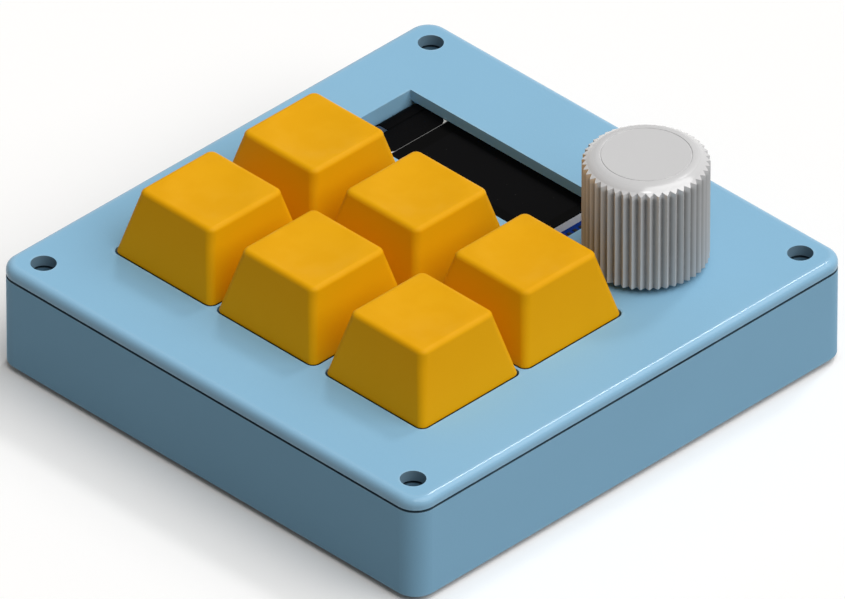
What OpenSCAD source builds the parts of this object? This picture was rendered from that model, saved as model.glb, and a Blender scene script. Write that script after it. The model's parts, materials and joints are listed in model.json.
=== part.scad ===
// Six-key macro keypad with a push-and-turn knob and a small display.
// Origin: centre of the footprint, on the plane that the rubber feet stand on.
// +X is to the user's right, +Y is away from the user, +Z is up. Millimetres.

/* [Case] */
// Width of the case, left to right
case_w = 78; // [76:0.5:92]
// Depth of the case, front to back
case_d = 80.4; // [78:0.2:94]
// Height of the tray, without the lid and feet
tray_h = 13.8; // [13.8:0.1:20]
// Radius of the case's upright corners
corner_r = 3.1; // [2:0.1:5]
// Thickness of the tray's walls
wall_t = 2.6; // [2:0.1:3]
// Thickness of the tray's floor
floor_t = 1.5; // [1.2:0.1:1.5]
// Thickness of the lid
lid_t = 1.6; // [1.6:0.1:2.4]
// Radius of the lid's rounded top edge
lid_edge_r = 1.1; // [0.4:0.1:1.2]
// Depth of the rim under the lid that sits inside the tray
lip_h = 1.8; // [1.4:0.1:2.4]
// Thickness of that rim
lip_t = 1.2; // [0.8:0.1:1.6]
// Gap between that rim and the tray's walls
lip_gap = 0.15; // [0.1:0.05:0.3]

/* [Corner holes] */
// Diameter of the four fixing holes
hole_d = 3.5; // [2.8:0.1:4.2]
// Distance of the holes from the case's sides
hole_in_x = 4.65; // [4.4:0.05:6]
// Distance of the holes from the case's front and back
hole_in_y = 4.2; // [4.1:0.1:6]
// Diameter of the posts round the holes
boss_d = 7.2; // [6.4:0.1:8]

/* [Seam] */
// Height of the shadow groove under the lid
groove_h = 0.35; // [0.15:0.05:0.5]
// Depth of that groove
groove_t = 0.4; // [0.2:0.05:0.6]

/* [Feet] */
// Diameter of a rubber foot
foot_d = 8; // [5:0.5:9]
// How far a foot stands out below the tray
foot_proud = 1; // [0.6:0.1:3]
// Depth of the recess that holds a foot
foot_recess = 0.4; // [0.2:0.1:0.6]

/* [Keys] */
// Distance between neighbouring keys
key_pitch = 19.05; // [18.9:0.05:19.6]
// Extra space before the right-hand column
column_gap = 1.1; // [1:0.05:2]
// Centre of the key block, left or right of the case's centre
keys_x = -1.25; // [-3:0.05:1]
// Centre of the key block, in front of or behind the case's centre
keys_y = -8.82; // [-11:0.02:-8]
// Travel of a key
key_travel = 4; // [2:0.1:4]
// Width of a keycap at its skirt
cap_w = 18.2; // [17:0.1:18.3]
// Width of a keycap's top
cap_top_w = 13.35; // [12:0.05:14.5]
// Height of a keycap
cap_h = 10; // [9.8:0.1:12]
// Thickness of a keycap's sides
cap_wall = 1.2; // [1:0.05:1.3]
// Thickness of a keycap's roof under the dish
cap_roof = 1.1; // [0.8:0.1:1.5]
// Depth of the dish in a keycap's top
cap_dish = 0.4; // [0.2:0.05:0.6]
// Gap between the keycaps and the edge of the lid's opening
cap_gap = 0.4; // [0.3:0.05:0.5]

/* [Display] */
// Centre of the display window, left or right
window_x = -9.22; // [-10:0.01:-8]
// Centre of the display window, front or back
window_y = 20.05; // [19.8:0.01:22]
// Width of the window, left to right
window_w = 38.55; // [34:0.05:39]
// Depth of the window, front to back
window_d = 12.6; // [10:0.1:12.8]
// Length of the display's circuit board
display_w = 38; // [36:0.1:38.4]
// Width of the display's circuit board
display_d = 12; // [11.8:0.1:12.2]
// How far the display sits behind the window's centre
display_back = 0.6; // [0.2:0.1:0.8]
// Length of the display panel
panel_w = 31.4; // [28:0.1:32]
// Width of the display panel
panel_d = 11.5; // [11:0.1:11.6]
// Thickness of the display panel
panel_t = 1.25; // [1:0.05:1.4]

/* [Knob] */
// Centre of the knob, left or right
knob_x = 21.05; // [21:0.05:23]
// Centre of the knob, front or back
knob_y = 20.5; // [19.6:0.1:22]
// Diameter over the knob's ribs
knob_d = 17; // [15:0.5:18]
// Height of the knob
knob_h = 16; // [13.5:0.5:20]
// Number of ribs round the knob
knob_ribs = 45; // [30:1:60]
// Depth of the grooves between the ribs
knob_groove = 0.62; // [0.3:0.02:0.8]
// Radius of the knob's rounded shoulder
knob_round = 2.34; // [1.5:0.02:3]
// Gap between the knob and the lid
knob_gap = 0.9; // [0.8:0.1:2]
// Travel of the knob when it is pushed
push_travel = 0.5; // [0.3:0.05:0.6]
// Diameter of the knob's shaft
shaft_d = 6; // [5:0.1:6]
// Height of the encoder's bushing above its frame
bushing_h = 5; // [4:0.1:6]

/* [Circuit board] */
// Thickness of the main circuit board
board_t = 1.6; // [1.2:0.1:1.6]
// Gap between the board and the tray's walls
board_gap = 0.8; // [0.3:0.1:1.2]

/* [USB socket] */
// Centre of the socket, left or right
usb_x = -9.2; // [-14:0.1:-2]
// Width of the opening for the plug
usb_cut_w = 12.6; // [11.5:0.1:13.5]
// Height of the opening for the plug
usb_cut_h = 7; // [6.4:0.1:7.4]

/* [Hidden] */
$fn = 64;
EPS = 0.01;
PAST = 1;                // how far a cut runs on past its piece
HULL_FN = 32;

// Colours
BLUE = [0.55, 0.73, 0.84];
AMBER = [0.90, 0.64, 0.03];
KNOB_GREY = [0.80, 0.80, 0.80];
BOARD_GREEN = [0.05, 0.30, 0.18];
BOARD_BLUE = [0.06, 0.22, 0.54];
BLACK = [0.06, 0.06, 0.07];
DARK = [0.16, 0.16, 0.17];
PANEL_WHITE = [0.88, 0.88, 0.87];
SILVER = [0.75, 0.75, 0.76];
GOLD = [0.80, 0.62, 0.30];
RUBBER = [0.10, 0.10, 0.10];

// Key switch, heights above the main circuit board's top
SW_BODY = 13.9;          // width of the lower housing
SW_BODY_H = 5;           // its height, up to the flange
SW_FLANGE = 15.6;        // width of the flange
SW_FLANGE_T = 1;         // thickness of the flange
SW_TOP_H = 11.6;         // top of the upper housing
SW_CAVITY = 12;          // width of the lower housing's hollow
SW_FLOOR = 1;            // thickness of the lower housing's floor
SW_COVER = 14.8;         // width of the upper housing at its foot
SW_COVER_EDGE = 0.6;     // height of its upright edge
SW_COVER_X = 11;         // width of its roof
SW_COVER_Y = 10.4;       // depth of its roof
SW_ROOF_T = 1.2;         // thickness of its roof
SW_PEG_D = 4;            // centre peg through the board
SW_PEG_L = 3.2;          // its length below the board's top
SW_PEG_SKIN = 0.6;       // floor of the pole's bore in the peg
SW_CLIP = [1.6, 5, 2];   // notch in the flange for the upper housing's clip
SW_LAMP = [4.6, 1.6];    // slot in the upper housing's roof, for a lamp
SW_SIDE_PEG_D = 1.7;     // the two side pegs
SW_SIDE_PEG_X = 5.08;    // their distance from the centre
SW_SIDE_PEG_L = 2.8;     // their length below the board's top
SW_PIN_1 = [-3.81, 2.54];
SW_PIN_2 = [2.54, 5.08];
SW_PIN_W = 1.3;
SW_PIN_T = 0.3;
SW_PIN_FIT = 0.05;       // gap round a pin in the lower housing
SW_PIN_L = 3;            // length of a pin below the board's top
CONTACT_LEAN = 0.3;      // taper of the fixed contact
CONTACT_DROP = 0.2;      // moving contact below the upper housing
SW_TUBE_D = 3.6;         // guide tube inside the lower housing
SW_TUBE_TOP = 4.2;
RUN = 0.10;              // radial running gap of a sliding piece
FREE = 0.3;              // gap round a piece that moves freely
SLIDE = 0.2;             // gap beside a guided slide
STEM_X = 7.2;            // block that fills the upper housing's opening
STEM_Y = 5.8;
STEM_CROSS = 4.1;        // cross that the keycap is pushed on
STEM_ARM_X = 1.3;        // thickness of the arm along X
STEM_ARM_Y = 1.1;        // thickness of the arm along Y
STEM_CROSS_H = 3.6;
STEM_STOP_X = 9.6;       // flange that stops under the roof
STEM_STOP_Y = 7.4;
STEM_STOP_T = 1.1;
STEM_REST = 0.1;         // gap between that flange and the roof
POLE_END = 0.3;          // gap under the pole when the key is down
SPRING_ROOM = 0.4;       // spring's hollow above the guide tube when the key is down
SPRING_SEAT = 0.02;
STEM_LEG_X = 5.8;        // hollow body round the spring
STEM_LEG_Y = 6.6;
POLE_D = 2.5;            // pole that slides in the guide tube
SPRING_D = 4.2;          // middle diameter of the spring
SPRING_WIRE = 0.3;
SPRING_TURNS = 7;
SPRING_STEPS = 10;       // rings of points in a turn
SPRING_SIDES = 5;        // sides of the wire

// Keycap
CAP_SKIRT = SW_BODY_H + SW_FLANGE_T + key_travel + FREE; // above the board, clear of the flange when down
CAP_CORNER = 1;          // upright corner radius at the skirt
CAP_TOP_CORNER = 1.2;    // the same at the top
CAP_RIM = 0.8;           // radius of the rounded rim
CAP_RIM_STEPS = 4;
CAP_POST_D = 5.5;        // post that takes the stem
CAP_POST_GAP = 0.1;      // from the post to the stem's block
CAP_FIT = 0.03;          // gap round the stem's cross
CAP_RIB_T = 0.8;
CAP_RIB_DROP = 2.4;      // height of the ribs under the roof
CAP_RIB_GAP = 0.2;       // from a rib's end to the side
CAP_CROSS_ROOM = 0.3;    // above the stem's cross in the post
COLUMNS = 3;
ROWS = 2;
KEYS = COLUMNS * ROWS;

// Heights from the plane that the feet stand on
TRAY_Z = foot_proud;
SEAM_Z = TRAY_Z + tray_h;
TOP_Z = SEAM_Z + lid_t;
SKIRT_SINK = 0.2;        // keycap skirts below the lid's top, at rest
BOARD_Z = TOP_Z - SKIRT_SINK - CAP_SKIRT;                // top of the main board
BOARD_UNDER_Z = BOARD_Z - board_t;
FLOOR_Z = TRAY_Z + floor_t;

// Case
INNER_W = case_w - 2 * wall_t;
INNER_D = case_d - 2 * wall_t;
INNER_R = 1;             // upright corner radius inside the walls
HOLE_X = case_w / 2 - hole_in_x;
HOLE_Y = case_d / 2 - hole_in_y;
CORNERS = [for (sx = [-1, 1], sy = [-1, 1]) [sx, sy]];
BOARD_W = INNER_W - 2 * board_gap;
BOARD_D = INNER_D - 2 * board_gap;
NOTCH_GAP = 0.4;                                         // board corners are cut away round the posts
NOTCH_X = HOLE_X - boss_d / 2 - NOTCH_GAP;
NOTCH_Y = HOLE_Y - boss_d / 2 - NOTCH_GAP;
BOARD_R = 0.5;
BOARD_FIT = 0.1;         // gap round a peg or pin in the main board
SNAP_R = 0.45;           // snap beads on the lid's rim
SNAP_GAP = 0.15;
SNAP_L = 14;
SNAP_Z = SEAM_Z - lip_h / 2;
LIP_CUT_GAP = 0.3;       // gap between the rim and the corner posts

// Feet and board screws
FOOT_IN = [5.3, 5];      // from the corner holes to the feet
FOOT_FIT = 0.1;          // gap round a foot in its recess
FOOT_X = HOLE_X - FOOT_IN[0];
FOOT_Y = HOLE_Y - FOOT_IN[1];
SCREW_EDGE = 3.6;        // from the board's rear edge to the rear screws
SCREW_CTRL = 4;          // from the controller to the left rear screw
SCREW_D = 1.8;
SCREW_HEAD_D = 3.8;
SCREW_HEAD_H = 1.3;
SCREW_HEAD_R = 0.6;      // radius of the head's rounded edge
SCREW_TIP = 0.2;         // from a screw's end to the bottom of its hole
SCREW_SLOT = [2.2, 0.5, 0.6];
SCREW_FIT = 0.05;
SCREW_SKIN = 0.8;        // left under the screws' holes
SCREW_L = BOARD_Z - TRAY_Z - SCREW_SKIN;
PILLAR_D = 4.8;
REST_POST_D = 3.2;
REST_EDGE = 3;           // from the board's front edge to the posts under it

// Key positions: 1 to 3 along the back row, 4 to 6 along the front row
BLOCK_W = (COLUMNS - 1) * key_pitch + column_gap;
BLOCK_D = (ROWS - 1) * key_pitch;
function column_x(c) = keys_x - BLOCK_W / 2 + c * key_pitch + (c == COLUMNS - 1 ? column_gap : 0);
function row_y(r) = keys_y + BLOCK_D / 2 - r * key_pitch;
OPENING_D = BLOCK_D + cap_w + 2 * cap_gap;               // the keys' openings in the lid, front to back
KEY_POS = [for (r = [0 : ROWS - 1], c = [0 : COLUMNS - 1]) [column_x(c), row_y(r)]];
BETWEEN_X = [for (c = [0 : COLUMNS - 2]) (column_x(c) + column_x(c + 1)) / 2];

// Display, heights below the lid's top
FILM_T = 0.1;            // dark film on the panel
FILM_DROP = 0.05;        // film below the lid's underside
DISPLAY_T = 1.2;         // thickness of the display's board
PANEL_TOP_Z = TOP_Z - lid_t - FILM_DROP - FILM_T;
DISPLAY_TOP_Z = PANEL_TOP_Z - panel_t;
DISPLAY_Z = DISPLAY_TOP_Z - DISPLAY_T;
DISPLAY_Y = window_y + display_back;
FLEX_T = 0.15;
FLEX_W = 10.5;           // width on the panel's ledge
FLEX_TAIL_W = 7;         // width round the bend
FLEX_GAP = 0.1;
FLEX_CORNER = 1;
FLEX_END_GAP = 0.2;      // pale line of the panel between the flex and the film
FLEX_IN = 0.1;           // from the panel's rear edge to the flex
FLEX_IN_Z = DISPLAY_Z - FLEX_GAP;                        // inner face of the tail under the board
FLEX_OUT_Z = PANEL_TOP_Z + FLEX_T;
FLEX_BEND_R = (FLEX_OUT_Z - FLEX_IN_Z + FLEX_T) / 2;
FLEX_BEND_X = window_x - window_w / 2 + FLEX_BEND_R + FLEX_T;
FLEX_UNDER_L = 3;        // length of the tail under the board
DISPLAY_OVER = 0.45;     // board's left end past the middle of the flex's bend
DISPLAY_LEFT = FLEX_BEND_X - DISPLAY_OVER;
DISPLAY_RIGHT = DISPLAY_LEFT + display_w;
PANEL_IN = 4.85;         // from the board's right end to the panel's
PANEL_RIGHT = DISPLAY_RIGHT - PANEL_IN;
PANEL_LEFT = PANEL_RIGHT - panel_w;
LEDGE_W = 4.15;          // ledge of the panel that the flex lies on
FILM_LEFT = PANEL_LEFT + LEDGE_W;
HEADER_PITCH = 2.54;
HEADER_PINS = 4;
HEADER_IN = 1.8;         // from the board's right end to the pins
HEADER_X = DISPLAY_RIGHT - HEADER_IN;
HEADER_FIT = 0.02;       // gap round a pin in the header block
PIN_W = 0.64;
PIN_HOLE_D = 1.1;
PIN_UP = 0.8;            // pin above the display's board
PIN_DOWN = 1;            // pin below the main board
POCKET_T = 1.2;          // wall of the pocket under the lid
POCKET_GAP = 0.25;
POCKET_H = 2.1;          // depth of the pocket's walls
POCKET_LEFT = window_x - window_w / 2;                   // flush with the window's left edge
HOOK_W = 5;              // hooks that hold the display's board
HOOK_X = [-12, 6];
HOOK_LIP = 0.45;
HOOK_T = 0.7;

// Encoder, heights above the main board's top
ENC_W = 12;
ENC_D = 12.4;
ENC_BASE_IN = 0.1;       // from the frame's front and back to the base's
ENC_SIDE_IN = 0.5;       // from the frame's front and back to its side plates' ends
ENC_H = 6.5;
ENC_TOP_T = 0.6;         // frame's top plate
ENC_SIDE_T = 0.4;        // frame's side plates
ENC_SIDE_Z = 0.4;
ENC_TAB_W = 2.1;
ENC_TAB_L = 2.6;
ENC_TAB_SLOT = [1.4, 2.8];                               // slot in the main board for a tab
ENC_FLOOR = 0.8;
ENC_CAVITY_D = 9.8;
ENC_CAVITY_TOP = 5;
ENC_MOUTH_D = shaft_d + 2 * FREE;
BUSH_D = shaft_d + 1;
BUSH_FLANGE = [0.9, 0.5];                                // reach and thickness of the flange at its foot
BUSH_NECK = 0.5;         // height of the narrow neck above the flange
BUSH_EDGE = 0.3;         // its chamfers, and the depth of the neck
BUSH_GAP = 0.4;          // between the bushing and the lid's hole
SHAFT_RUN = 0.05;
PLUNGER_D = 4.8;
PLUNGER_L = 1.45;
PLUNGER_Z = ENC_FLOOR + push_travel + FREE;
SHAFT_FOOT_D = 4.4;
SHAFT_FOOT_Z = PLUNGER_Z + PLUNGER_L + SHAFT_RUN;
SHAFT_STEP_Z = 5.2;
SHAFT_L = 15;            // shaft above the encoder's frame
SHAFT_EDGE = 0.5;        // chamfer of its top
SHAFT_FLAT = 1.5;        // flat's distance from the shaft's axis
SHAFT_FLAT_L = 7;
ROTOR_D = 9;
ROTOR_Z = SHAFT_FOOT_Z + FREE;
ROTOR_T = 1.2;
ROTOR_NOTCHES = 20;
ROTOR_NOTCH = 0.6;
ENC_PIN_REACH = 7.25;
ENC_PIN_W = 0.8;
ENC_PIN_T = 0.4;
ENC_PIN_L = 2.8;
ENC_PIN_HOLE_D = 1.2;
ENC_PIN_Z = 0.6;
ENC_PINS_FRONT = [-2.5, 0, 2.5];
ENC_PINS_BACK = [-2.5, 2.5];

// Knob
KNOB_Z = TOP_Z + knob_gap;
KNOB_CORE_R = knob_d / 2 - knob_groove;
KNOB_DISC_R = knob_d / 2 - knob_round;
KNOB_STEP = 0.04;        // the shoulder ends this far inside the grooves
KNOB_SHOULDER_R = KNOB_CORE_R - KNOB_STEP;
KNOB_RIB_DROP = 0.36;    // fall of a rib's end from its root to its tip
KNOB_BORE_FIT = 0.03;
KNOB_RECESS_D = 8.8;
KNOB_RECESS_H = 2.5;
SHAFT_TOP_Z = BOARD_Z + ENC_H + SHAFT_L;
KNOB_ROOM = 0.2;         // above the shaft in the bore
KNOB_FLAT_GAP = 0.1;     // from the bore's flat down to the shaft's
KNOB_BORE_H = SHAFT_TOP_Z + KNOB_ROOM - KNOB_Z;

// Controller and USB socket
CTRL_W = 17.8;
CTRL_D = 21;
CTRL_T = 1.2;
CTRL_R = 1;
CTRL_PADS = 7;
CTRL_PAD_D = 1;
CTRL_GAP = 1.6;          // from the rear wall to the controller board
CTRL_BACK_Y = case_d / 2 - wall_t - CTRL_GAP;
CTRL_Y = CTRL_BACK_Y - CTRL_D / 2;

// Board screws: two where the gaps between the switches cross, two at the board's rear edge
SCREW_REAR_X = [usb_x - CTRL_W / 2 - SCREW_CTRL, knob_x];
SCREWS = concat([for (x = BETWEEN_X) [x, keys_y]], [for (x = SCREW_REAR_X) [x, BOARD_D / 2 - SCREW_EDGE]]);
REST_POSTS = [for (x = BETWEEN_X) [x, REST_EDGE - BOARD_D / 2]];
USB_W = 8.94;
USB_H = 3.16;
USB_L = 7.3;
USB_WALL = 0.3;
USB_R = 1.2;
USB_FIT = 0.02;          // gap round the tongue's foot in the shell
USB_FRONT_Y = case_d / 2 - wall_t - FREE;                // mouth of the socket
USB_TONGUE = [6.7, 0.7, 5.4];
USB_PLUG_D = 1.2;        // moulded plug at the socket's back
USB_Z = BOARD_Z + CTRL_T + USB_H / 2;
CUT_R = 2;
SHIELD = [12, 9.6, 1.6];
SHIELD_R = 0.8;
SHIELD_EDGE = 0.3;
SHIELD_DOWN = 3.4;       // from the board's middle towards the front
BUTTON = [2.6, 1.6, 0.8];
BUTTON_X = 6.9;
BUTTON_IN = 2.2;         // from the board's rear edge to the buttons
BUTTON_CAP = [1, 0.3];   // diameter and height of a button's cap

KEY_NUMBERS = [for (i = [1 : KEYS]) str(i)];
function numbered(name) = [for (n = KEY_NUMBERS) str(name, n)];
KEYCAPS = numbered("keycap_");
STEMS = numbered("switch_stem_");
COVERS = numbered("switch_cover_");
BASES = numbered("switch_base_");
SPRINGS = numbered("switch_spring_");

// Shared shapes

// Rectangle with round corners, centred on the origin
module round_rect(w, d, r) {
    square([w - 2 * r, d], center = true);
    square([w, d - 2 * r], center = true);
    for (c = CORNERS) translate([c[0] * (w / 2 - r), c[1] * (d / 2 - r)]) circle(r);
}

// Box centred in X and Y, with its lower face at z = 0
module block(w, d, h) {
    translate([-w / 2, -d / 2, 0]) cube([w, d, h]);
}

// Rectangle of the given width and height whose two upper corners are rounded
module arch(w, h, r) {
    translate([-w / 2, 0]) square([w, h - r]);
    translate([-w / 2 + r, 0]) square([w - 2 * r, h]);
    for (s = [-1, 1]) translate([s * (w / 2 - r), h - r]) intersection() {
        circle(r);
        translate([-r, 0]) square([2 * r, r]);
    }
}

// Slab with upright round corners and a rounded top edge
module round_slab(w, d, r, h, edge) {
    translate([0, d / 2 - r, 0]) rotate([90, 0, 0]) linear_extrude(d - 2 * r) arch(w, h, edge);
    rotate([0, 0, 90]) translate([0, w / 2 - r, 0]) rotate([90, 0, 0])
        linear_extrude(w - 2 * r) arch(d, h, edge);
    for (c = CORNERS) translate([c[0] * (w / 2 - r), c[1] * (d / 2 - r), 0]) rotate_extrude()
        intersection() {
            arch(2 * r, h, edge);
            square([r, h]);
        }
}

module at_corners(x, y) {
    for (c = CORNERS) translate([c[0] * x, c[1] * y, 0]) children();
}

module at_key(i) {
    translate([KEY_POS[i][0], KEY_POS[i][1], BOARD_Z]) children();
}

module at_keys() {
    for (i = [0 : KEYS - 1]) at_key(i) children();
}

module at_screws() {
    for (p = SCREWS) translate(p) children();
}

module at_encoder() {
    translate([knob_x, knob_y, BOARD_Z]) children();
}

module at_header() {
    for (i = [0 : HEADER_PINS - 1])
        translate([HEADER_X, DISPLAY_Y + (i - (HEADER_PINS - 1) / 2) * HEADER_PITCH, 0]) children();
}

// Case

module tray() {
    color(BLUE) difference() {
        union() {
            difference() {
                union() {
                    translate([0, 0, TRAY_Z]) linear_extrude(tray_h - groove_h)
                        round_rect(case_w, case_d, corner_r);
                    translate([0, 0, TRAY_Z]) linear_extrude(tray_h)
                        round_rect(case_w - 2 * groove_t, case_d - 2 * groove_t, corner_r - groove_t);
                }
                translate([0, 0, FLOOR_Z]) linear_extrude(tray_h) round_rect(INNER_W, INNER_D, INNER_R);
            }
            at_corners(HOLE_X, HOLE_Y) translate([0, 0, TRAY_Z]) cylinder(d = boss_d, h = tray_h);
            at_screws() translate([0, 0, TRAY_Z]) cylinder(d = PILLAR_D, h = BOARD_UNDER_Z - TRAY_Z);
            for (p = REST_POSTS) translate([p[0], p[1], TRAY_Z])
                cylinder(d = REST_POST_D, h = BOARD_UNDER_Z - TRAY_Z);
        }
        at_corners(HOLE_X, HOLE_Y) {
            cylinder(d = hole_d, h = TOP_Z);
            translate([0, 0, SEAM_Z - groove_h]) cylinder(d = hole_d + 2 * groove_t, h = TOP_Z);
        }
        at_screws() translate([0, 0, BOARD_Z - SCREW_L])
            cylinder(d = SCREW_D + 2 * SCREW_FIT, h = tray_h);
        at_corners(FOOT_X, FOOT_Y) translate([0, 0, TRAY_Z - EPS])
            cylinder(d = foot_d + 2 * FOOT_FIT, h = foot_recess + EPS);
        translate([usb_x, case_d / 2 + EPS, USB_Z]) rotate([90, 0, 0])
            linear_extrude(wall_t + 2 * EPS) round_rect(usb_cut_w, usb_cut_h, CUT_R);
        for (s = [-1, 1]) translate([s * (INNER_W / 2 - lip_gap), 0, SNAP_Z]) rotate([90, 0, 0])
            cylinder(r = SNAP_R + SNAP_GAP, h = SNAP_L + 2 * SNAP_GAP, center = true);
    }
}

// Rim under the lid, with a snap bead on each side
module lid_rim() {
    w = INNER_W - 2 * lip_gap;
    d = INNER_D - 2 * lip_gap;
    difference() {
        translate([0, 0, SEAM_Z - lip_h]) linear_extrude(lip_h + EPS) difference() {
            square([w, d], center = true);
            square([w - 2 * lip_t, d - 2 * lip_t], center = true);
        }
        at_corners(HOLE_X, HOLE_Y) cylinder(d = boss_d + 2 * LIP_CUT_GAP, h = SEAM_Z);
        at_corners(w / 2, d / 2) translate([0, 0, SEAM_Z - lip_h - EPS])
            block(boss_d, boss_d, lip_h + EPS);
    }
    for (s = [-1, 1]) translate([s * w / 2, 0, SNAP_Z]) rotate([90, 0, 0])
        cylinder(r = SNAP_R, h = SNAP_L, center = true);
}

// Walls and hooks under the window that hold the display
module display_pocket() {
    right = DISPLAY_RIGHT + POCKET_GAP;
    half_d = display_d / 2 + POCKET_GAP;
    z = SEAM_Z - POCKET_H;
    hook_z = DISPLAY_Z - FLEX_GAP;
    difference() {
        translate([POCKET_LEFT - POCKET_T, DISPLAY_Y - half_d - POCKET_T, z])
            cube([right - POCKET_LEFT + 2 * POCKET_T, 2 * (half_d + POCKET_T), POCKET_H + EPS]);
        translate([POCKET_LEFT, DISPLAY_Y - half_d, z - EPS])
            cube([right - POCKET_LEFT, 2 * half_d, POCKET_H + 3 * EPS]);
    }
    for (x = HOOK_X, s = [-1, 1]) translate([window_x + x, DISPLAY_Y + s * half_d, 0])
        rotate([90, 0, s * 90]) translate([0, 0, -HOOK_W / 2]) linear_extrude(HOOK_W)
            polygon([[0, z + EPS], [0, hook_z], [-HOOK_LIP - POCKET_GAP, hook_z],
                     [0, hook_z - HOOK_T], [POCKET_T, hook_z - HOOK_T], [POCKET_T, z + EPS]]);
}

// Opening in the lid for the columns between two of their centres
module key_opening(left, right) {
    translate([(left + right) / 2, keys_y, SEAM_Z - EPS]) linear_extrude(lid_t + PAST)
        round_rect(right - left + cap_w + 2 * cap_gap, OPENING_D, CAP_CORNER + cap_gap);
}

module lid() {
    color(BLUE) difference() {
        union() {
            translate([0, 0, SEAM_Z]) round_slab(case_w, case_d, corner_r, lid_t, lid_edge_r);
            lid_rim();
            display_pocket();
        }
        at_corners(HOLE_X, HOLE_Y) translate([0, 0, SEAM_Z - EPS]) cylinder(d = hole_d, h = lid_t + PAST);
        translate([window_x, window_y, SEAM_Z]) block(window_w, window_d, lid_t + PAST);
        key_opening(column_x(0), column_x(COLUMNS - 2));
        key_opening(column_x(COLUMNS - 1), column_x(COLUMNS - 1));
        translate([knob_x, knob_y, SEAM_Z - EPS]) cylinder(d = BUSH_D + 2 * BUSH_GAP, h = lid_t + PAST);
    }
}

module rubber_feet() {
    color(RUBBER) at_corners(FOOT_X, FOOT_Y) cylinder(d = foot_d, h = foot_proud + foot_recess);
}

// Main circuit board

module main_board() {
    color(BOARD_GREEN) translate([0, 0, BOARD_UNDER_Z]) linear_extrude(board_t) difference() {
        round_rect(BOARD_W, BOARD_D, BOARD_R);
        at_corners(NOTCH_X + boss_d, NOTCH_Y + boss_d) square(2 * boss_d, center = true);
        at_screws() circle(d = SCREW_D + 4 * BOARD_FIT);
        for (p = KEY_POS) translate(p) {
            circle(d = SW_PEG_D + 2 * BOARD_FIT);
            for (s = [-1, 1]) translate([s * SW_SIDE_PEG_X, 0]) circle(d = SW_SIDE_PEG_D + 2 * BOARD_FIT);
            translate(SW_PIN_1) circle(d = SW_PIN_W + 2 * BOARD_FIT);
            translate(SW_PIN_2) circle(d = SW_PIN_W + 2 * BOARD_FIT);
        }
        translate([knob_x, knob_y]) {
            for (s = [-1, 1]) translate([s * (ENC_W - ENC_SIDE_T) / 2, 0])
                square(ENC_TAB_SLOT, center = true);
            for (x = ENC_PINS_FRONT) translate([x, -ENC_PIN_REACH]) circle(d = ENC_PIN_HOLE_D);
            for (x = ENC_PINS_BACK) translate([x, ENC_PIN_REACH]) circle(d = ENC_PIN_HOLE_D);
        }
        at_header() circle(d = PIN_HOLE_D);
    }
}

module board_screws() {
    color(SILVER) at_screws() translate([0, 0, BOARD_Z]) difference() {
        union() {
            translate([0, 0, SCREW_TIP - SCREW_L]) cylinder(d = SCREW_D, h = SCREW_L);
            rotate_extrude() intersection() {
                arch(SCREW_HEAD_D, SCREW_HEAD_H, SCREW_HEAD_R);
                square(SCREW_HEAD_D);
            }
        }
        for (a = [0, 90]) rotate([0, 0, a]) translate([0, 0, SCREW_HEAD_H - SCREW_SLOT[2]])
            block(SCREW_SLOT[0], SCREW_SLOT[1], SCREW_SLOT[2] + EPS);
    }
}

// Key switch

module switch_base() {
    pole_bore_d = POLE_D + 2 * RUN;
    color(BLACK) difference() {
        union() {
            difference() {
                union() {
                    block(SW_BODY, SW_BODY, SW_BODY_H);
                    translate([0, 0, SW_BODY_H]) block(SW_FLANGE, SW_FLANGE, SW_FLANGE_T);
                }
                translate([0, 0, SW_FLOOR]) block(SW_CAVITY, SW_CAVITY, SW_BODY_H + SW_FLANGE_T);
                for (s = [-1, 1]) translate([s * SW_FLANGE / 2, 0, SW_BODY_H + SW_FLANGE_T - SW_CLIP[2]])
                    block(SW_CLIP[0], SW_CLIP[1], SW_CLIP[2] + EPS);
            }
            translate([0, 0, -SW_PEG_L]) cylinder(d = SW_PEG_D, h = SW_PEG_L + SW_FLOOR);
            cylinder(d = SW_TUBE_D, h = SW_TUBE_TOP);
            for (s = [-1, 1]) translate([s * SW_SIDE_PEG_X, 0, -SW_SIDE_PEG_L])
                cylinder(d = SW_SIDE_PEG_D, h = SW_SIDE_PEG_L + SW_FLOOR);
        }
        translate([0, 0, SW_PEG_SKIN - SW_PEG_L]) cylinder(d = pole_bore_d, h = SW_PEG_L + SW_BODY_H);
        for (p = [SW_PIN_1, SW_PIN_2]) translate([p[0], p[1], -EPS])
            block(SW_PIN_W + 2 * SW_PIN_FIT, SW_PIN_T + 2 * SW_PIN_FIT, SW_FLOOR + 2 * EPS);
    }
}

module switch_cover() {
    foot_z = SW_BODY_H + SW_FLANGE_T;
    roof_z = SW_TOP_H - SW_ROOF_T;
    color(DARK) difference() {
        union() {
            translate([0, 0, foot_z]) block(SW_COVER, SW_COVER, SW_COVER_EDGE);
            hull() {
                translate([0, 0, foot_z + SW_COVER_EDGE - EPS]) block(SW_COVER, SW_COVER, EPS);
                translate([0, 0, SW_TOP_H - EPS]) block(SW_COVER_X, SW_COVER_Y, EPS);
            }
        }
        translate([0, 0, foot_z - EPS])
            block(STEM_STOP_X + 2 * FREE, STEM_STOP_Y + 2 * FREE, roof_z - foot_z + EPS);
        block(STEM_X + 2 * SLIDE, STEM_Y + 2 * SLIDE, SW_TOP_H + PAST);
        translate([0, -SW_COVER_Y / 2, roof_z]) block(SW_LAMP[0], SW_LAMP[1], SW_ROOF_T + PAST);
    }
}

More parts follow.
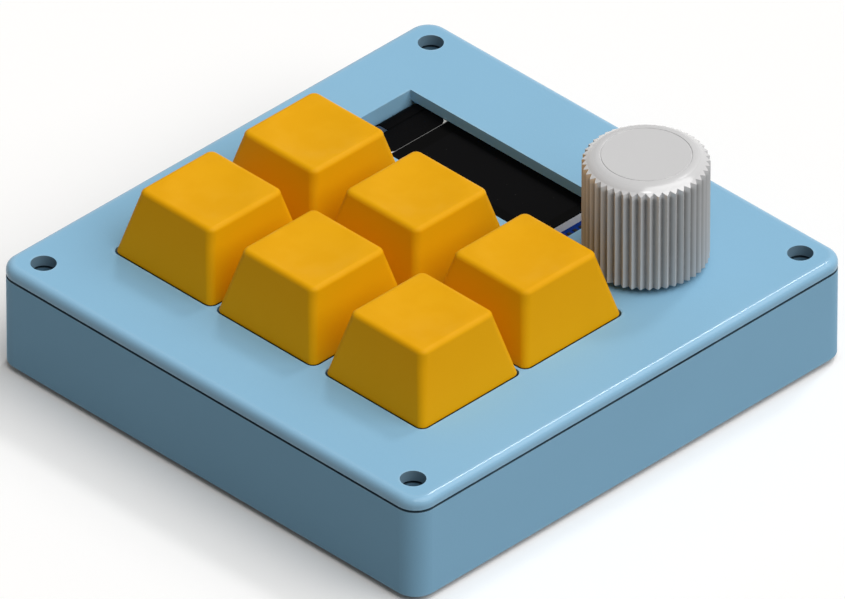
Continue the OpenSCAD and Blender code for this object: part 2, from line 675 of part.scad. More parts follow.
module switch_stem() {
    stop_top = SW_TOP_H - SW_ROOF_T - STEM_REST;
    stop_z = stop_top - STEM_STOP_T;
    leg_z = SW_FLOOR + FREE + key_travel;
    recess_top = SW_TUBE_TOP + key_travel + SPRING_ROOM;
    pole_z = key_travel - SW_PEG_L + SW_PEG_SKIN + POLE_END;
    color(AMBER) {
        translate([0, 0, SW_TOP_H - EPS]) {
            block(STEM_CROSS, STEM_ARM_X, STEM_CROSS_H + EPS);
            block(STEM_ARM_Y, STEM_CROSS, STEM_CROSS_H + EPS);
        }
        translate([0, 0, stop_top - EPS]) block(STEM_X, STEM_Y, SW_TOP_H - stop_top + EPS);
        translate([0, 0, stop_z]) block(STEM_STOP_X, STEM_STOP_Y, STEM_STOP_T);
        difference() {
            translate([0, 0, leg_z]) block(STEM_LEG_X, STEM_LEG_Y, stop_z - leg_z + EPS);
            cylinder(d = SPRING_D + SPRING_WIRE + 2 * SLIDE, h = recess_top);
        }
        translate([0, 0, pole_z]) cylinder(d = POLE_D, h = stop_z - pole_z + EPS);
    }
}

// One unbroken wire, wound round the guide tube
module switch_spring() {
    z0 = SW_FLOOR + SPRING_WIRE / 2 + SPRING_SEAT;
    z1 = SW_TUBE_TOP + key_travel + SPRING_ROOM - SPRING_WIRE / 2 - SPRING_SEAT;
    n = SPRING_TURNS * SPRING_STEPS;
    wire = SPRING_WIRE / 2;
    points = [for (i = [0 : n], k = [0 : SPRING_SIDES - 1])
        let (a = 360 * i / SPRING_STEPS, b = 360 * k / SPRING_SIDES, r = SPRING_D / 2 + wire * cos(b))
        [r * cos(a), r * sin(a), z0 + (z1 - z0) * i / n + wire * sin(b)]];
    sides = [for (i = [0 : n - 1], k = [0 : SPRING_SIDES - 1])
        let (k2 = (k + 1) % SPRING_SIDES, p = i * SPRING_SIDES, q = p + SPRING_SIDES)
        each [[p + k, q + k, q + k2], [p + k, q + k2, p + k2]]];
    ends = [[for (k = [0 : SPRING_SIDES - 1]) k],
            [for (k = [SPRING_SIDES - 1 : -1 : 0]) n * SPRING_SIDES + k]];
    color(SILVER) polyhedron(points, concat(sides, ends));
}

// Pin and upright blade of a contact: the blade ends below the stem's flange
module contact(top, lean) {
    rotate([90, 0, 0]) translate([0, 0, -SW_PIN_T / 2]) linear_extrude(SW_PIN_T)
        polygon([[-SW_PIN_W / 2, top], [-SW_PIN_W / 2, 0], [-SW_PIN_W / 4, -SW_PIN_L],
                 [SW_PIN_W / 4, -SW_PIN_L], [SW_PIN_W / 2, 0], [SW_PIN_W / 2 - lean, top]]);
}

module fixed_contacts() {
    color(GOLD) at_keys() translate([SW_PIN_1[0], SW_PIN_1[1], 0])
        contact(SW_TOP_H - SW_ROOF_T - STEM_STOP_T - STEM_REST - key_travel - FREE, CONTACT_LEAN);
}

module moving_contacts() {
    color(GOLD) at_keys() translate([SW_PIN_2[0], SW_PIN_2[1], 0])
        contact(SW_BODY_H + SW_FLANGE_T - CONTACT_DROP, 0);
}

// Keycap, with its skirt's lower edge at z = 0

function cap_half(z) = cap_w / 2 - (cap_w - cap_top_w) / 2 * z / cap_h;

// Thin level slice of a keycap's outer or inner form
module cap_slice(z, half, r) {
    translate([0, 0, z]) linear_extrude(EPS) round_rect(2 * half, 2 * half, r, $fn = HULL_FN);
}

module keycap() {
    rim_z = cap_h - CAP_RIM;
    roof_z = cap_h - cap_dish - cap_roof;
    post_z = SW_TOP_H + CAP_POST_GAP - CAP_SKIRT;
    flat = cap_half(rim_z) - CAP_RIM;
    dish_r = (flat * flat + cap_dish * cap_dish) / (2 * cap_dish);
    color(AMBER) {
        difference() {
            hull() {
                cap_slice(0, cap_half(0), CAP_CORNER);
                for (i = [0 : CAP_RIM_STEPS]) let (a = 90 * i / CAP_RIM_STEPS)
                    cap_slice(rim_z + CAP_RIM * sin(a) - EPS, cap_half(rim_z) - CAP_RIM * (1 - cos(a)),
                              CAP_TOP_CORNER - CAP_RIM * (1 - cos(a)));
            }
            hull() {
                cap_slice(-EPS, cap_half(0) - cap_wall, CAP_CORNER);
                cap_slice(roof_z - EPS, cap_half(roof_z) - cap_wall, CAP_CORNER);
            }
            translate([0, 0, cap_h - cap_dish + dish_r]) sphere(dish_r, $fn = 180);
        }
        difference() {
            union() {
                translate([0, 0, post_z]) cylinder(d = CAP_POST_D, h = roof_z - post_z + EPS);
                for (a = [0, 90]) rotate([0, 0, a]) translate([0, 0, roof_z - CAP_RIB_DROP])
                    block(2 * (cap_half(roof_z - CAP_RIB_DROP) - cap_wall - CAP_RIB_GAP), CAP_RIB_T,
                          CAP_RIB_DROP + EPS);
            }
            translate([0, 0, post_z - EPS]) {
                block(STEM_CROSS + 2 * CAP_FIT, STEM_ARM_X + 2 * CAP_FIT, STEM_CROSS_H + CAP_CROSS_ROOM);
                block(STEM_ARM_Y + 2 * CAP_FIT, STEM_CROSS + 2 * CAP_FIT, STEM_CROSS_H + CAP_CROSS_ROOM);
            }
        }
    }
}

// Display

module display_board() {
    color(BOARD_BLUE) translate([0, 0, DISPLAY_Z]) linear_extrude(DISPLAY_T) difference() {
        translate([DISPLAY_LEFT, DISPLAY_Y - display_d / 2]) square([display_w, display_d]);
        at_header() circle(d = PIN_HOLE_D);
    }
}

module display_panel() {
    color(PANEL_WHITE) translate([PANEL_LEFT, DISPLAY_Y - panel_d / 2, DISPLAY_TOP_Z])
        cube([panel_w, panel_d, panel_t]);
}

module display_face() {
    color(BLACK) translate([FILM_LEFT, DISPLAY_Y - panel_d / 2, PANEL_TOP_Z])
        cube([PANEL_RIGHT - FILM_LEFT, panel_d, FILM_T]);
}

// Flex: a pad on the panel's ledge, and a tail from it round the board's end to the underside
module display_flex() {
    r = FLEX_BEND_R;
    bend_z = FLEX_OUT_Z - r;
    tail_end = FILM_LEFT - FLEX_END_GAP;
    y = DISPLAY_Y + panel_d / 2 - FLEX_IN;
    color(BLACK) {
        translate([(PANEL_LEFT + tail_end) / 2, y - FLEX_W / 2, PANEL_TOP_Z])
            linear_extrude(FLEX_T) round_rect(tail_end - PANEL_LEFT, FLEX_W, FLEX_CORNER);
        translate([FLEX_BEND_X, y, bend_z]) rotate([90, 0, 0]) linear_extrude(FLEX_TAIL_W) {
            difference() {
                circle(r);
                circle(r - FLEX_T);
                translate([0, -2 * r]) square(4 * r);
            }
            translate([-EPS, r - FLEX_T]) square([PANEL_LEFT - FLEX_BEND_X + FLEX_CORNER, FLEX_T]);
            translate([-EPS, -r]) square([FLEX_UNDER_L, FLEX_T]);
        }
    }
}

module display_header() {
    color(BLACK) translate([HEADER_X, DISPLAY_Y, BOARD_Z]) difference() {
        block(HEADER_PITCH, HEADER_PINS * HEADER_PITCH, DISPLAY_Z - BOARD_Z);
        for (i = [0 : HEADER_PINS - 1]) translate([0, (i - (HEADER_PINS - 1) / 2) * HEADER_PITCH, -EPS])
            block(PIN_W + 2 * HEADER_FIT, PIN_W + 2 * HEADER_FIT, DISPLAY_Z - BOARD_Z + 2 * EPS);
    }
}

module display_pins() {
    z = BOARD_UNDER_Z - PIN_DOWN;
    color(GOLD) at_header() translate([0, 0, z]) block(PIN_W, PIN_W, DISPLAY_TOP_Z + PIN_UP - z);
}

// Encoder

module encoder_base() {
    w = ENC_W - 2 * ENC_SIDE_T;
    color(DARK) difference() {
        block(w, ENC_D - 2 * ENC_BASE_IN, ENC_H - ENC_TOP_T);
        translate([0, 0, ENC_FLOOR]) cylinder(d = ENC_CAVITY_D, h = ENC_CAVITY_TOP - ENC_FLOOR);
        translate([0, 0, ENC_FLOOR]) cylinder(d = ENC_MOUTH_D, h = ENC_H);
    }
}

module encoder_frame() {
    color(SILVER) difference() {
        union() {
            translate([0, 0, ENC_H - ENC_TOP_T]) block(ENC_W, ENC_D, ENC_TOP_T);
            for (s = [-1, 1]) translate([s * (ENC_W - ENC_SIDE_T) / 2, 0, 0]) {
                translate([0, 0, ENC_SIDE_Z])
                    block(ENC_SIDE_T, ENC_D - 2 * ENC_SIDE_IN, ENC_H - ENC_SIDE_Z);
                translate([0, 0, -ENC_TAB_L]) block(ENC_SIDE_T, ENC_TAB_W, ENC_TAB_L + ENC_H);
            }
        }
        translate([0, 0, -EPS]) cylinder(d = ENC_MOUTH_D, h = ENC_H + PAST);
    }
}

module encoder_bushing() {
    r = BUSH_D / 2;
    neck_r = r - BUSH_EDGE;
    flange_r = r + BUSH_FLANGE[0];
    neck_top = BUSH_FLANGE[1] + BUSH_NECK;
    color(SILVER) translate([0, 0, ENC_H]) difference() {
        rotate_extrude() polygon([[0, 0], [flange_r, 0], [flange_r, BUSH_FLANGE[1]],
            [neck_r, BUSH_FLANGE[1]], [neck_r, neck_top], [r, neck_top + BUSH_EDGE],
            [r, bushing_h - BUSH_EDGE], [neck_r, bushing_h], [0, bushing_h]]);
        translate([0, 0, -EPS]) cylinder(d = shaft_d + 2 * SHAFT_RUN, h = bushing_h + PAST);
    }
}

// Bent pin that leaves the base's side and turns down through the board
module encoder_pin() {
    y0 = ENC_D / 2 - ENC_BASE_IN;
    reach = ENC_PIN_REACH + ENC_PIN_T / 2;
    translate([-ENC_PIN_W / 2, 0, 0]) rotate([90, 0, 90]) linear_extrude(ENC_PIN_W)
        polygon([[y0, ENC_PIN_Z], [reach, ENC_PIN_Z], [reach, -ENC_PIN_L],
                 [reach - ENC_PIN_T, -ENC_PIN_L], [reach - ENC_PIN_T, ENC_PIN_Z - ENC_PIN_T],
                 [y0, ENC_PIN_Z - ENC_PIN_T]]);
}

module encoder_pins() {
    color(GOLD) {
        for (x = ENC_PINS_BACK) translate([x, 0, 0]) encoder_pin();
        for (x = ENC_PINS_FRONT) translate([x, 0, 0]) rotate([0, 0, 180]) encoder_pin();
    }
}

module encoder_plunger() {
    color(PANEL_WHITE) translate([0, 0, PLUNGER_Z])
        cylinder(d = PLUNGER_D, h = PLUNGER_L);
}

// Wiper disc with the click notches round its edge
module encoder_rotor() {
    color(BLACK) translate([0, 0, ROTOR_Z]) linear_extrude(ROTOR_T) difference() {
        circle(d = ROTOR_D);
        circle(d = SHAFT_FOOT_D + 2 * KNOB_BORE_FIT);
        for (i = [0 : ROTOR_NOTCHES - 1]) rotate(i * 360 / ROTOR_NOTCHES)
            translate([ROTOR_D / 2, 0]) rotate(45) square(ROTOR_NOTCH, center = true);
    }
}

module encoder_shaft() {
    top = ENC_H + SHAFT_L;
    color(SILVER) difference() {
        rotate_extrude() polygon([[0, SHAFT_FOOT_Z], [SHAFT_FOOT_D / 2, SHAFT_FOOT_Z],
            [SHAFT_FOOT_D / 2, SHAFT_STEP_Z], [shaft_d / 2, SHAFT_STEP_Z],
            [shaft_d / 2, top - SHAFT_EDGE], [shaft_d / 2 - SHAFT_EDGE, top], [0, top]]);
        translate([SHAFT_FLAT, -shaft_d, top - SHAFT_FLAT_L])
            cube([shaft_d, 2 * shaft_d, SHAFT_FLAT_L + PAST]);
    }
}

// Knob: a revolved form cut to a ribbed outline, with a D-shaped bore from below

module knob_outline() {
    polygon([for (i = [0 : 2 * knob_ribs - 1])
        let (r = i % 2 == 0 ? KNOB_CORE_R : knob_d / 2, a = 180 * (i + 0.5) / knob_ribs)
        [r * cos(a), r * sin(a)]]);
}

// Half section of the knob without its grooves
module knob_section() {
    drop = knob_round - sqrt(knob_round * knob_round - pow(KNOB_SHOULDER_R - KNOB_DISC_R, 2));
    rim_r = knob_d / 2 + EPS;
    square([KNOB_DISC_R, knob_h]);
    square([KNOB_SHOULDER_R, knob_h - knob_round]);
    intersection() {
        translate([KNOB_DISC_R, knob_h - knob_round]) circle(knob_round, $fn = 128);
        square([KNOB_SHOULDER_R, knob_h]);
    }
    polygon([[KNOB_DISC_R, 0], [rim_r, 0], [rim_r, knob_h - drop - KNOB_RIB_DROP],
             [KNOB_SHOULDER_R, knob_h - drop], [KNOB_DISC_R, knob_h - knob_round]]);
}

module knob() {
    flat_z = SHAFT_TOP_Z - SHAFT_FLAT_L + KNOB_FLAT_GAP - KNOB_Z;
    color(KNOB_GREY) translate([knob_x, knob_y, KNOB_Z]) difference() {
        intersection() {
            linear_extrude(knob_h) knob_outline();
            rotate_extrude() knob_section();
        }
        translate([0, 0, -EPS]) cylinder(d = KNOB_RECESS_D, h = KNOB_RECESS_H);
        difference() {
            cylinder(d = shaft_d + 2 * KNOB_BORE_FIT, h = KNOB_BORE_H);
            translate([SHAFT_FLAT + KNOB_BORE_FIT, -shaft_d, flat_z])
                cube([shaft_d, 2 * shaft_d, knob_h]);
        }
    }
}

// Controller and USB socket

module controller_board() {
    color(BLACK) translate([usb_x, CTRL_Y, BOARD_Z]) linear_extrude(CTRL_T) difference() {
        round_rect(CTRL_W, CTRL_D, CTRL_R);
        for (s = [-1, 1], i = [0 : CTRL_PADS - 1])
            translate([s * CTRL_W / 2, (i - (CTRL_PADS - 1) / 2) * HEADER_PITCH]) circle(d = CTRL_PAD_D);
    }
}

module controller_shield() {
    color(SILVER) translate([usb_x, CTRL_Y - SHIELD_DOWN, BOARD_Z + CTRL_T])
        round_slab(SHIELD[0], SHIELD[1], SHIELD_R, SHIELD[2], SHIELD_EDGE);
}

module controller_buttons() {
    color(SILVER) for (s = [-1, 1])
        translate([usb_x + s * BUTTON_X, CTRL_BACK_Y - BUTTON_IN, BOARD_Z + CTRL_T])
            rotate([0, 0, 90]) {
                block(BUTTON[0], BUTTON[1], BUTTON[2]);
                cylinder(d = BUTTON_CAP[0], h = BUTTON[2] + BUTTON_CAP[1]);
            }
}

module usb_shell() {
    color(SILVER) translate([usb_x, USB_FRONT_Y, USB_Z]) rotate([90, 0, 0]) linear_extrude(USB_L)
        difference() {
            round_rect(USB_W, USB_H, USB_R);
            round_rect(USB_W - 2 * USB_WALL, USB_H - 2 * USB_WALL, USB_R - USB_WALL);
        }
}

module usb_tongue() {
    back = USB_FRONT_Y - USB_L;
    in = USB_WALL + USB_FIT;
    color(BLACK) translate([usb_x, back, USB_Z]) rotate([-90, 0, 0]) {
        linear_extrude(USB_PLUG_D)
            round_rect(USB_W - 2 * in, USB_H - 2 * in, USB_R - USB_WALL);
        translate([0, 0, USB_PLUG_D - EPS]) block(USB_TONGUE[0], USB_TONGUE[1], USB_TONGUE[2]);
    }
}

tray();
lid();
rubber_feet();
main_board();
board_screws();
for (i = [0 : KEYS - 1]) {
    at_key(i) translate([0, 0, CAP_SKIRT]) keycap();
    at_key(i) switch_stem();
    at_key(i) switch_cover();
    at_key(i) switch_base();
    at_key(i) switch_spring();
}
fixed_contacts();
moving_contacts();
display_board();
display_panel();
display_face();
display_flex();
display_header();
display_pins();
at_encoder() encoder_base();
at_encoder() encoder_frame();
at_encoder() encoder_bushing();
at_encoder() encoder_pins();
at_encoder() encoder_plunger();
at_encoder() encoder_rotor();
at_encoder() encoder_shaft();
knob();
controller_board();
controller_shield();
controller_buttons();
usb_shell();
usb_tongue();
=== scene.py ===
"""Looks of a six-key macro keypad with a ribbed knob and a small display."""
import json
import math

import bmesh
import bpy
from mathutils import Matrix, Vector


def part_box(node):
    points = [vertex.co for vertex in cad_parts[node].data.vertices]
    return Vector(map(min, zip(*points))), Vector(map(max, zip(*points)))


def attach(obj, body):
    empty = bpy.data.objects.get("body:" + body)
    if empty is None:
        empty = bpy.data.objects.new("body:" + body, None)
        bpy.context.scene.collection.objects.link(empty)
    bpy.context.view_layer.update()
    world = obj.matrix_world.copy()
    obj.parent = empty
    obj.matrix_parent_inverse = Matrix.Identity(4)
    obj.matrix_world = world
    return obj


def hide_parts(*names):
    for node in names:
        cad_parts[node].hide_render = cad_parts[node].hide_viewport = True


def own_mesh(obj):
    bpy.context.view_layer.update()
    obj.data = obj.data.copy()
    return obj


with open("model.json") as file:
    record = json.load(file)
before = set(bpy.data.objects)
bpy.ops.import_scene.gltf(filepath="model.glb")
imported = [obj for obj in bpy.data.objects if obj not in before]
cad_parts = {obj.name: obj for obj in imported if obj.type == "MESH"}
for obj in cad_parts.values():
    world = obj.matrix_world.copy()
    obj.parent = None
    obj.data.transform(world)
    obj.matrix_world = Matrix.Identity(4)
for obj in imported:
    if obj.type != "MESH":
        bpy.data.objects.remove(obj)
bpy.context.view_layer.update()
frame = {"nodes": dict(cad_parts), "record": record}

MM = 0.001
NODES = frame["nodes"]
KEYS = range(1, 7)
LID_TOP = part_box("lid")[1].z


# Shader maths

class Value:
    """What one socket gives. Arithmetic on it adds Math nodes to its finish."""

    def __init__(self, finish, socket):
        self.finish = finish
        self.socket = socket

    def maths(self, operation, *others):
        return self.finish.node("Math", {"operation": operation}, (self, *others))

    def __add__(self, other):
        return self.maths("ADD", other)

    def __sub__(self, other):
        return self.maths("SUBTRACT", other)

    def __rsub__(self, other):
        return self.finish.node("Math", {"operation": "SUBTRACT"}, (other, self))

    def __mul__(self, other):
        return self.maths("MULTIPLY", other)

    def __truediv__(self, other):
        return self.maths("DIVIDE", other)

    __radd__ = __add__

    def over(self, level):
        return self.maths("GREATER_THAN", level)

    def ramp(self, low, high):
        """0 at low, 1 at high, smooth between. Low may be the larger of the two."""
        settings = {"interpolation_type": "SMOOTHSTEP"}
        return self.finish.node("MapRange", settings, {"Value": self, "From Min": low, "From Max": high})


def srgb(red, green, blue):
    """A colour as a screen shows it, 0 to 255, turned into the linear one that a shader takes."""
    def linear(c):
        c /= 255
        return c / 12.92 if c <= 0.04045 else ((c + 0.055) / 1.055) ** 2.4
    return (linear(red), linear(green), linear(blue), 1.0)


def shade(colour, amount):
    """The colour made darker by an amount under 1, or paler by one over 1."""
    return tuple(c * amount for c in colour[:3]) + (1.0,)


class Finish:
    """One material. Fixed numbers go straight to the shader's own sockets."""

    def __init__(self, name, **fixed):
        self.material = bpy.data.materials.new(name)
        self.material.use_nodes = True
        self.tree = self.material.node_tree
        self.tree.nodes.clear()
        self.shader = self.tree.nodes.new("ShaderNodeBsdfPrincipled")
        out = self.tree.nodes.new("ShaderNodeOutputMaterial")
        self.tree.links.new(self.shader.outputs[0], out.inputs[0])
        for key, value in fixed.items():
            self.shader.inputs[key.replace("_", " ")].default_value = value
        self.material.diffuse_color = (0.5, 0.5, 0.5, 1)

    def node(self, kind, settings=None, sockets=(), out=0):
        """Adds a node: its settings first, then the values or links of its sockets."""
        node = self.tree.nodes.new("ShaderNode" + kind)
        for key, value in (settings or {}).items():
            setattr(node, key, value)
        pairs = sockets.items() if isinstance(sockets, dict) else enumerate(sockets)
        for key, value in pairs:
            self.plug(node.inputs[key], value)
        return Value(self, node.outputs[out])

    def plug(self, socket, value):
        if isinstance(value, Value):
            self.tree.links.new(value.socket, socket)
        else:
            socket.default_value = value

    def set(self, **varying):
        """Links what changes over the surface: Base_Color, Roughness, Metallic, Normal and so on."""
        for key, value in varying.items():
            self.plug(self.shader.inputs[key.replace("_", " ")], value)

    def place(self):
        return self.node("TexCoord", out=3)

    def along(self, axis):
        return self.node("SeparateXYZ", None, [self.place()], out="XYZ".index(axis))

    def stretched(self, x, y, z):
        return self.node("Mapping", None, {"Vector": self.place(), "Scale": (x, y, z)})

    def line(self, axis, place, half, soft):
        """1 on a line across an axis, half wide on each side, which fades to 0 at soft."""
        return (self.along(axis) - place).maths("ABSOLUTE").ramp(soft, half)

    def noise(self, size, detail=2, stretch=(1, 1, 1)):
        """Soft random pattern, 0 to 1, with features about as large as size, in metres."""
        sockets = {"Vector": self.stretched(*stretch), "Scale": 1 / size, "Detail": detail}
        return self.node("TexNoise", None, sockets)

    def specks(self, size, reach):
        """1 in small dots that stand about size apart, reach of that wide, and 0 between."""
        cells = self.node("TexVoronoi", None, {"Vector": self.place(), "Scale": 1 / size})
        return cells.ramp(reach, reach * 0.6)

    def mix(self, amount, first, second):
        sockets = {0: amount, 6: first, 7: second}
        return self.node("Mix", {"data_type": "RGBA"}, sockets, out=2)

    def edge(self, radius):
        """1 on corners and edges, 0 on flats."""
        soft = self.node("Bevel", {"samples": 4}, {"Radius": radius})
        true = self.node("NewGeometry", out=1)
        straight = self.node("VectorMath", {"operation": "DOT_PRODUCT"}, [soft, true], out=1)
        return straight.ramp(0.985, 0.9)

    def relief(self, height, depth, under=None):
        """Bump of the given depth, in metres, laid over an earlier one."""
        sockets = {"Height": height, "Distance": depth, "Strength": 1.0}
        if under:
            sockets["Normal"] = under
        return self.node("Bump", None, sockets)


# Finishes

CASE_BLUE = srgb(140, 188, 218)
KEY_AMBER = srgb(231, 166, 2)
KNOB_GREY = srgb(203, 203, 204)
# painted shade: the colour painted into the seam's groove under the lid's edge
SEAM_PAINTED_SHADE = srgb(30, 40, 48)
SEAM_HEIGHT = 0.37 * MM      # band of painted shade in the groove, from the tray's top down
SEAM_DEPTH = 0.6 * MM
CORNER_R = 3.1 * MM
CORNER_HOLE = (34.35 * MM, 36.0 * MM)
HOLE_REACH = 2.4 * MM        # round a hole, past its widest part in the tray
HOLE_R = 1.75 * MM
LID_EDGE = 1.4 * MM          # glossy border of the lid
SKIN = 0.02 * MM
TURNED_PITCH = 0.21 * MM     # between the turning marks on the knob's face
LANE_PITCH = 0.36 * MM       # between the flex's conductors
FILM_INSET = 2.2 * MM        # from the film's left and front edges to the active area
FILM_INSET_RIGHT = 1.6 * MM
FILM_INSET_BACK = 1.4 * MM


def case_masks(f):
    """The seam's shadow groove, the corner holes in tray and lid, and the lid's rounded edge, as masks; the
    groove and the holes take painted shade.
    """
    low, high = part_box("tray")
    x, y, z = (f.along(axis) for axis in "XYZ")
    x, y = x.maths("ABSOLUTE"), y.maths("ABSOLUTE")
    hole_x, hole_y = x - CORNER_HOLE[0], y - CORNER_HOLE[1]
    from_hole = (hole_x * hole_x + hole_y * hole_y).maths("SQRT")
    corner = 1 - from_hole.over(HOLE_REACH)
    in_hole = 1 - from_hole.over(HOLE_R + SKIN)
    # where the holes' walls in the lid take painted shade
    wall = in_hole * (1 - z.over(LID_TOP - SKIN)) * z.over(high.z)
    under_lid = 1 - z.over(high.z + 0.01 * MM)
    past_x = (x - (high.x - CORNER_R)).maths("MAXIMUM", 0)
    past_y = (y - (high.y - CORNER_R)).maths("MAXIMUM", 0)
    out = (past_x * past_x + past_y * past_y).maths("SQRT")
    outside = out.over(CORNER_R - SEAM_DEPTH)
    seam = z.over(high.z - SEAM_HEIGHT) * under_lid * outside.maths("MAXIMUM", corner)
    # where the holes in the tray take painted shade
    bore = corner * under_lid * z.over(low.z + 1 * MM)
    rim = out.ramp(CORNER_R - LID_EDGE, CORNER_R - LID_EDGE * 0.8)
    return seam, bore, wall, rim * z.over(high.z)


def case_plastic():
    """Light-blue moulded plastic with a fine spark-eroded grain, and painted shade in the seam's groove and
    down the corner holes.
    """
    f = Finish("case_plastic", Specular_IOR_Level=0.12, Coat_Roughness=0.13)
    seam, bore, wall, lid_edge = case_masks(f)
    grain = f.noise(0.00022, 3)
    cloud = f.noise(0.018, 3)
    rub = f.edge(0.0007) * f.noise(0.0016, 4).ramp(0.42, 0.62)
    dust = f.specks(0.0016, 0.06) * f.noise(0.02, 2).ramp(0.45, 0.7)
    colour = f.mix(cloud * 0.7, CASE_BLUE, shade(CASE_BLUE, 0.93))
    colour = f.mix(grain.ramp(0.60, 0.75) * 0.25, colour, shade(CASE_BLUE, 1.06))
    colour = f.mix(rub * 0.35, colour, srgb(178, 212, 230))
    colour = f.mix(dust * 0.25, colour, srgb(196, 214, 224))
    # painted shade down the corner holes in the tray
    colour = f.mix(bore * 0.55, colour, shade(CASE_BLUE, 0.3))
    # painted shade on the corner holes' walls in the lid
    colour = f.mix(wall * 0.7, colour, srgb(98, 114, 124))
    # painted shade in the seam's groove, a little uneven
    colour = f.mix(seam * (0.7 + cloud * 0.3), colour, SEAM_PAINTED_SHADE)
    f.set(Base_Color=colour, Roughness=0.46 + cloud * 0.10 + grain * 0.06 - rub * 0.10)
    f.set(Coat_Weight=lid_edge * (0.7 - cloud * 0.3))
    f.set(Normal=f.relief(grain, 0.000012, f.relief(f.noise(0.0011, 2), 0.000006)))
    return f.material


def keycap_plastic():
    """Amber moulded plastic: fine grain on the sides, worn smoother in the dish."""
    f = Finish("keycap_plastic", Specular_IOR_Level=0.10)
    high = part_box("keycap_1")[1]
    grain = f.noise(0.00016, 3)
    cloud = f.noise(0.007, 3)
    top = f.along("Z").ramp(high.z - 0.9 * MM, high.z - 0.45 * MM)
    worn = top * f.noise(0.004, 3).ramp(0.35, 0.65)
    rub = f.edge(0.0004) * f.noise(0.0009, 3).ramp(0.40, 0.62)
    colour = f.mix(cloud * 0.6, KEY_AMBER, shade(KEY_AMBER, 0.92))
    colour = f.mix(rub * 0.30, colour, srgb(246, 186, 22))
    colour = f.mix(worn * 0.18, colour, srgb(240, 178, 10))
    f.set(Base_Color=colour, Roughness=0.50 + grain * 0.08 + cloud * 0.06 - worn * 0.14 - rub * 0.08)
    f.set(Normal=f.relief(grain * (1 - worn * 0.6), 0.000011))
    return f.material


def knob_plastic():
    """Light-grey satin plastic: a turned face on top, faint vertical drag marks on the ribs, and painted
    shade that darkens the ribbed flank and its grooves even more.
    """
    f = Finish("knob_plastic", Specular_IOR_Level=0.35, Coat_Roughness=0.15, Coat_IOR=1.8)
    low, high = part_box("knob")
    middle = (low + high) / 2
    from_axis = f.node("VectorMath", {"operation": "DISTANCE"},
                       [f.node("VectorMath", {"operation": "MULTIPLY"}, [f.place(), (1, 1, 0)]),
                        (middle.x, middle.y, 0)], out=1)
    rings = (from_axis * (2 * math.pi / TURNED_PITCH)).maths("SINE")
    face = f.along("Z").ramp(high.z - 0.25 * MM, high.z - 0.08 * MM)
    reach = (high.x - low.x) / 2
    side = f.along("Z").ramp(high.z - 1.3 * MM, high.z - 1.9 * MM)
    groove = side * from_axis.ramp(reach - 0.06 * MM, reach - 0.60 * MM)
    drag = f.noise(0.0004, 3, (1, 1, 0.06))
    grain = f.noise(0.00018, 3)
    cloud = f.noise(0.006, 3)
    rub = f.edge(0.00025) * f.noise(0.0008, 3).ramp(0.40, 0.62)
    colour = f.mix(cloud * 0.5, KNOB_GREY, shade(KNOB_GREY, 0.93))
    # painted shade: the ribbed flank is painted darker than the face
    colour = f.mix(side * 0.8, colour, srgb(192, 192, 192))
    # painted shade deep in the grooves between the ribs
    colour = f.mix(groove * (0.55 + cloud * 0.4), colour, srgb(122, 121, 119))
    colour = f.mix(rub * (1 - side * 0.5) * 0.35, colour, srgb(226, 226, 224))
    shoulder = (1 - face) * (1 - side)
    f.set(Base_Color=colour, Roughness=0.36 + grain * 0.05 + cloud * 0.05 - shoulder * 0.24)
    f.set(Coat_Weight=shoulder * 0.8)
    marks = side * drag + grain * (0.5 - shoulder * 0.45)
    f.set(Normal=f.relief(face * rings, 0.0000015, f.relief(marks, 0.000010)))
    return f.material


def plain_plastic(name, colour, roughness=0.45, grain_size=0.00018):
    """Moulded plastic for inner parts, with a fine grain and a little dust."""
    f = Finish(name, Specular_IOR_Level=0.25)
    grain = f.noise(grain_size, 3)
    cloud = f.noise(0.004, 3)
    tint = f.mix(cloud * 0.6, colour, shade(colour, 0.8))
    f.set(Base_Color=f.mix(f.specks(0.0012, 0.08) * 0.25, tint, srgb(120, 120, 118)))
    f.set(Roughness=roughness + grain * 0.12 + cloud * 0.06, Normal=f.relief(grain, 0.000010))
    return f.material


def metal(name, colour, roughness=0.30, stretch=(1, 1, 0.08)):
    """Drawn or stamped metal with marks along one direction and dull patches."""
    f = Finish(name, Metallic=1.0)
    marks = f.noise(0.0003, 3, stretch)
    dull = f.noise(0.003, 4)
    tint = f.mix(dull * 0.5, colour, shade(colour, 0.78))
    f.set(Base_Color=f.mix(marks.ramp(0.62, 0.8) * 0.3, tint, shade(colour, 1.12)))
    f.set(Roughness=roughness + marks * 0.12 + dull * 0.14, Normal=f.relief(marks, 0.000006))
    return f.material


def circuit_board(name, mask, track, pitch, shine=0.25):
    """Solder mask over copper: tracks stand slightly proud and look paler."""
    f = Finish(name, Specular_IOR_Level=shine)
    waver = f.noise(pitch * 5, 1, (1, 0.25, 1))
    lines = ((f.along("X") + waver * (pitch * 6)) / pitch).maths("FRACT")
    tracks = lines.ramp(0.48, 0.56) * f.noise(pitch * 9, 1).ramp(0.47, 0.52)
    weave = f.noise(0.0004, 2, (1, 0.2, 1))
    f.set(Base_Color=f.mix(tracks * 0.7, f.mix(weave * 0.4, mask, shade(mask, 0.75)), track))
    f.set(Roughness=0.26 + weave * 0.14, Normal=f.relief(tracks + weave * 0.1, 0.000025))
    return f.material


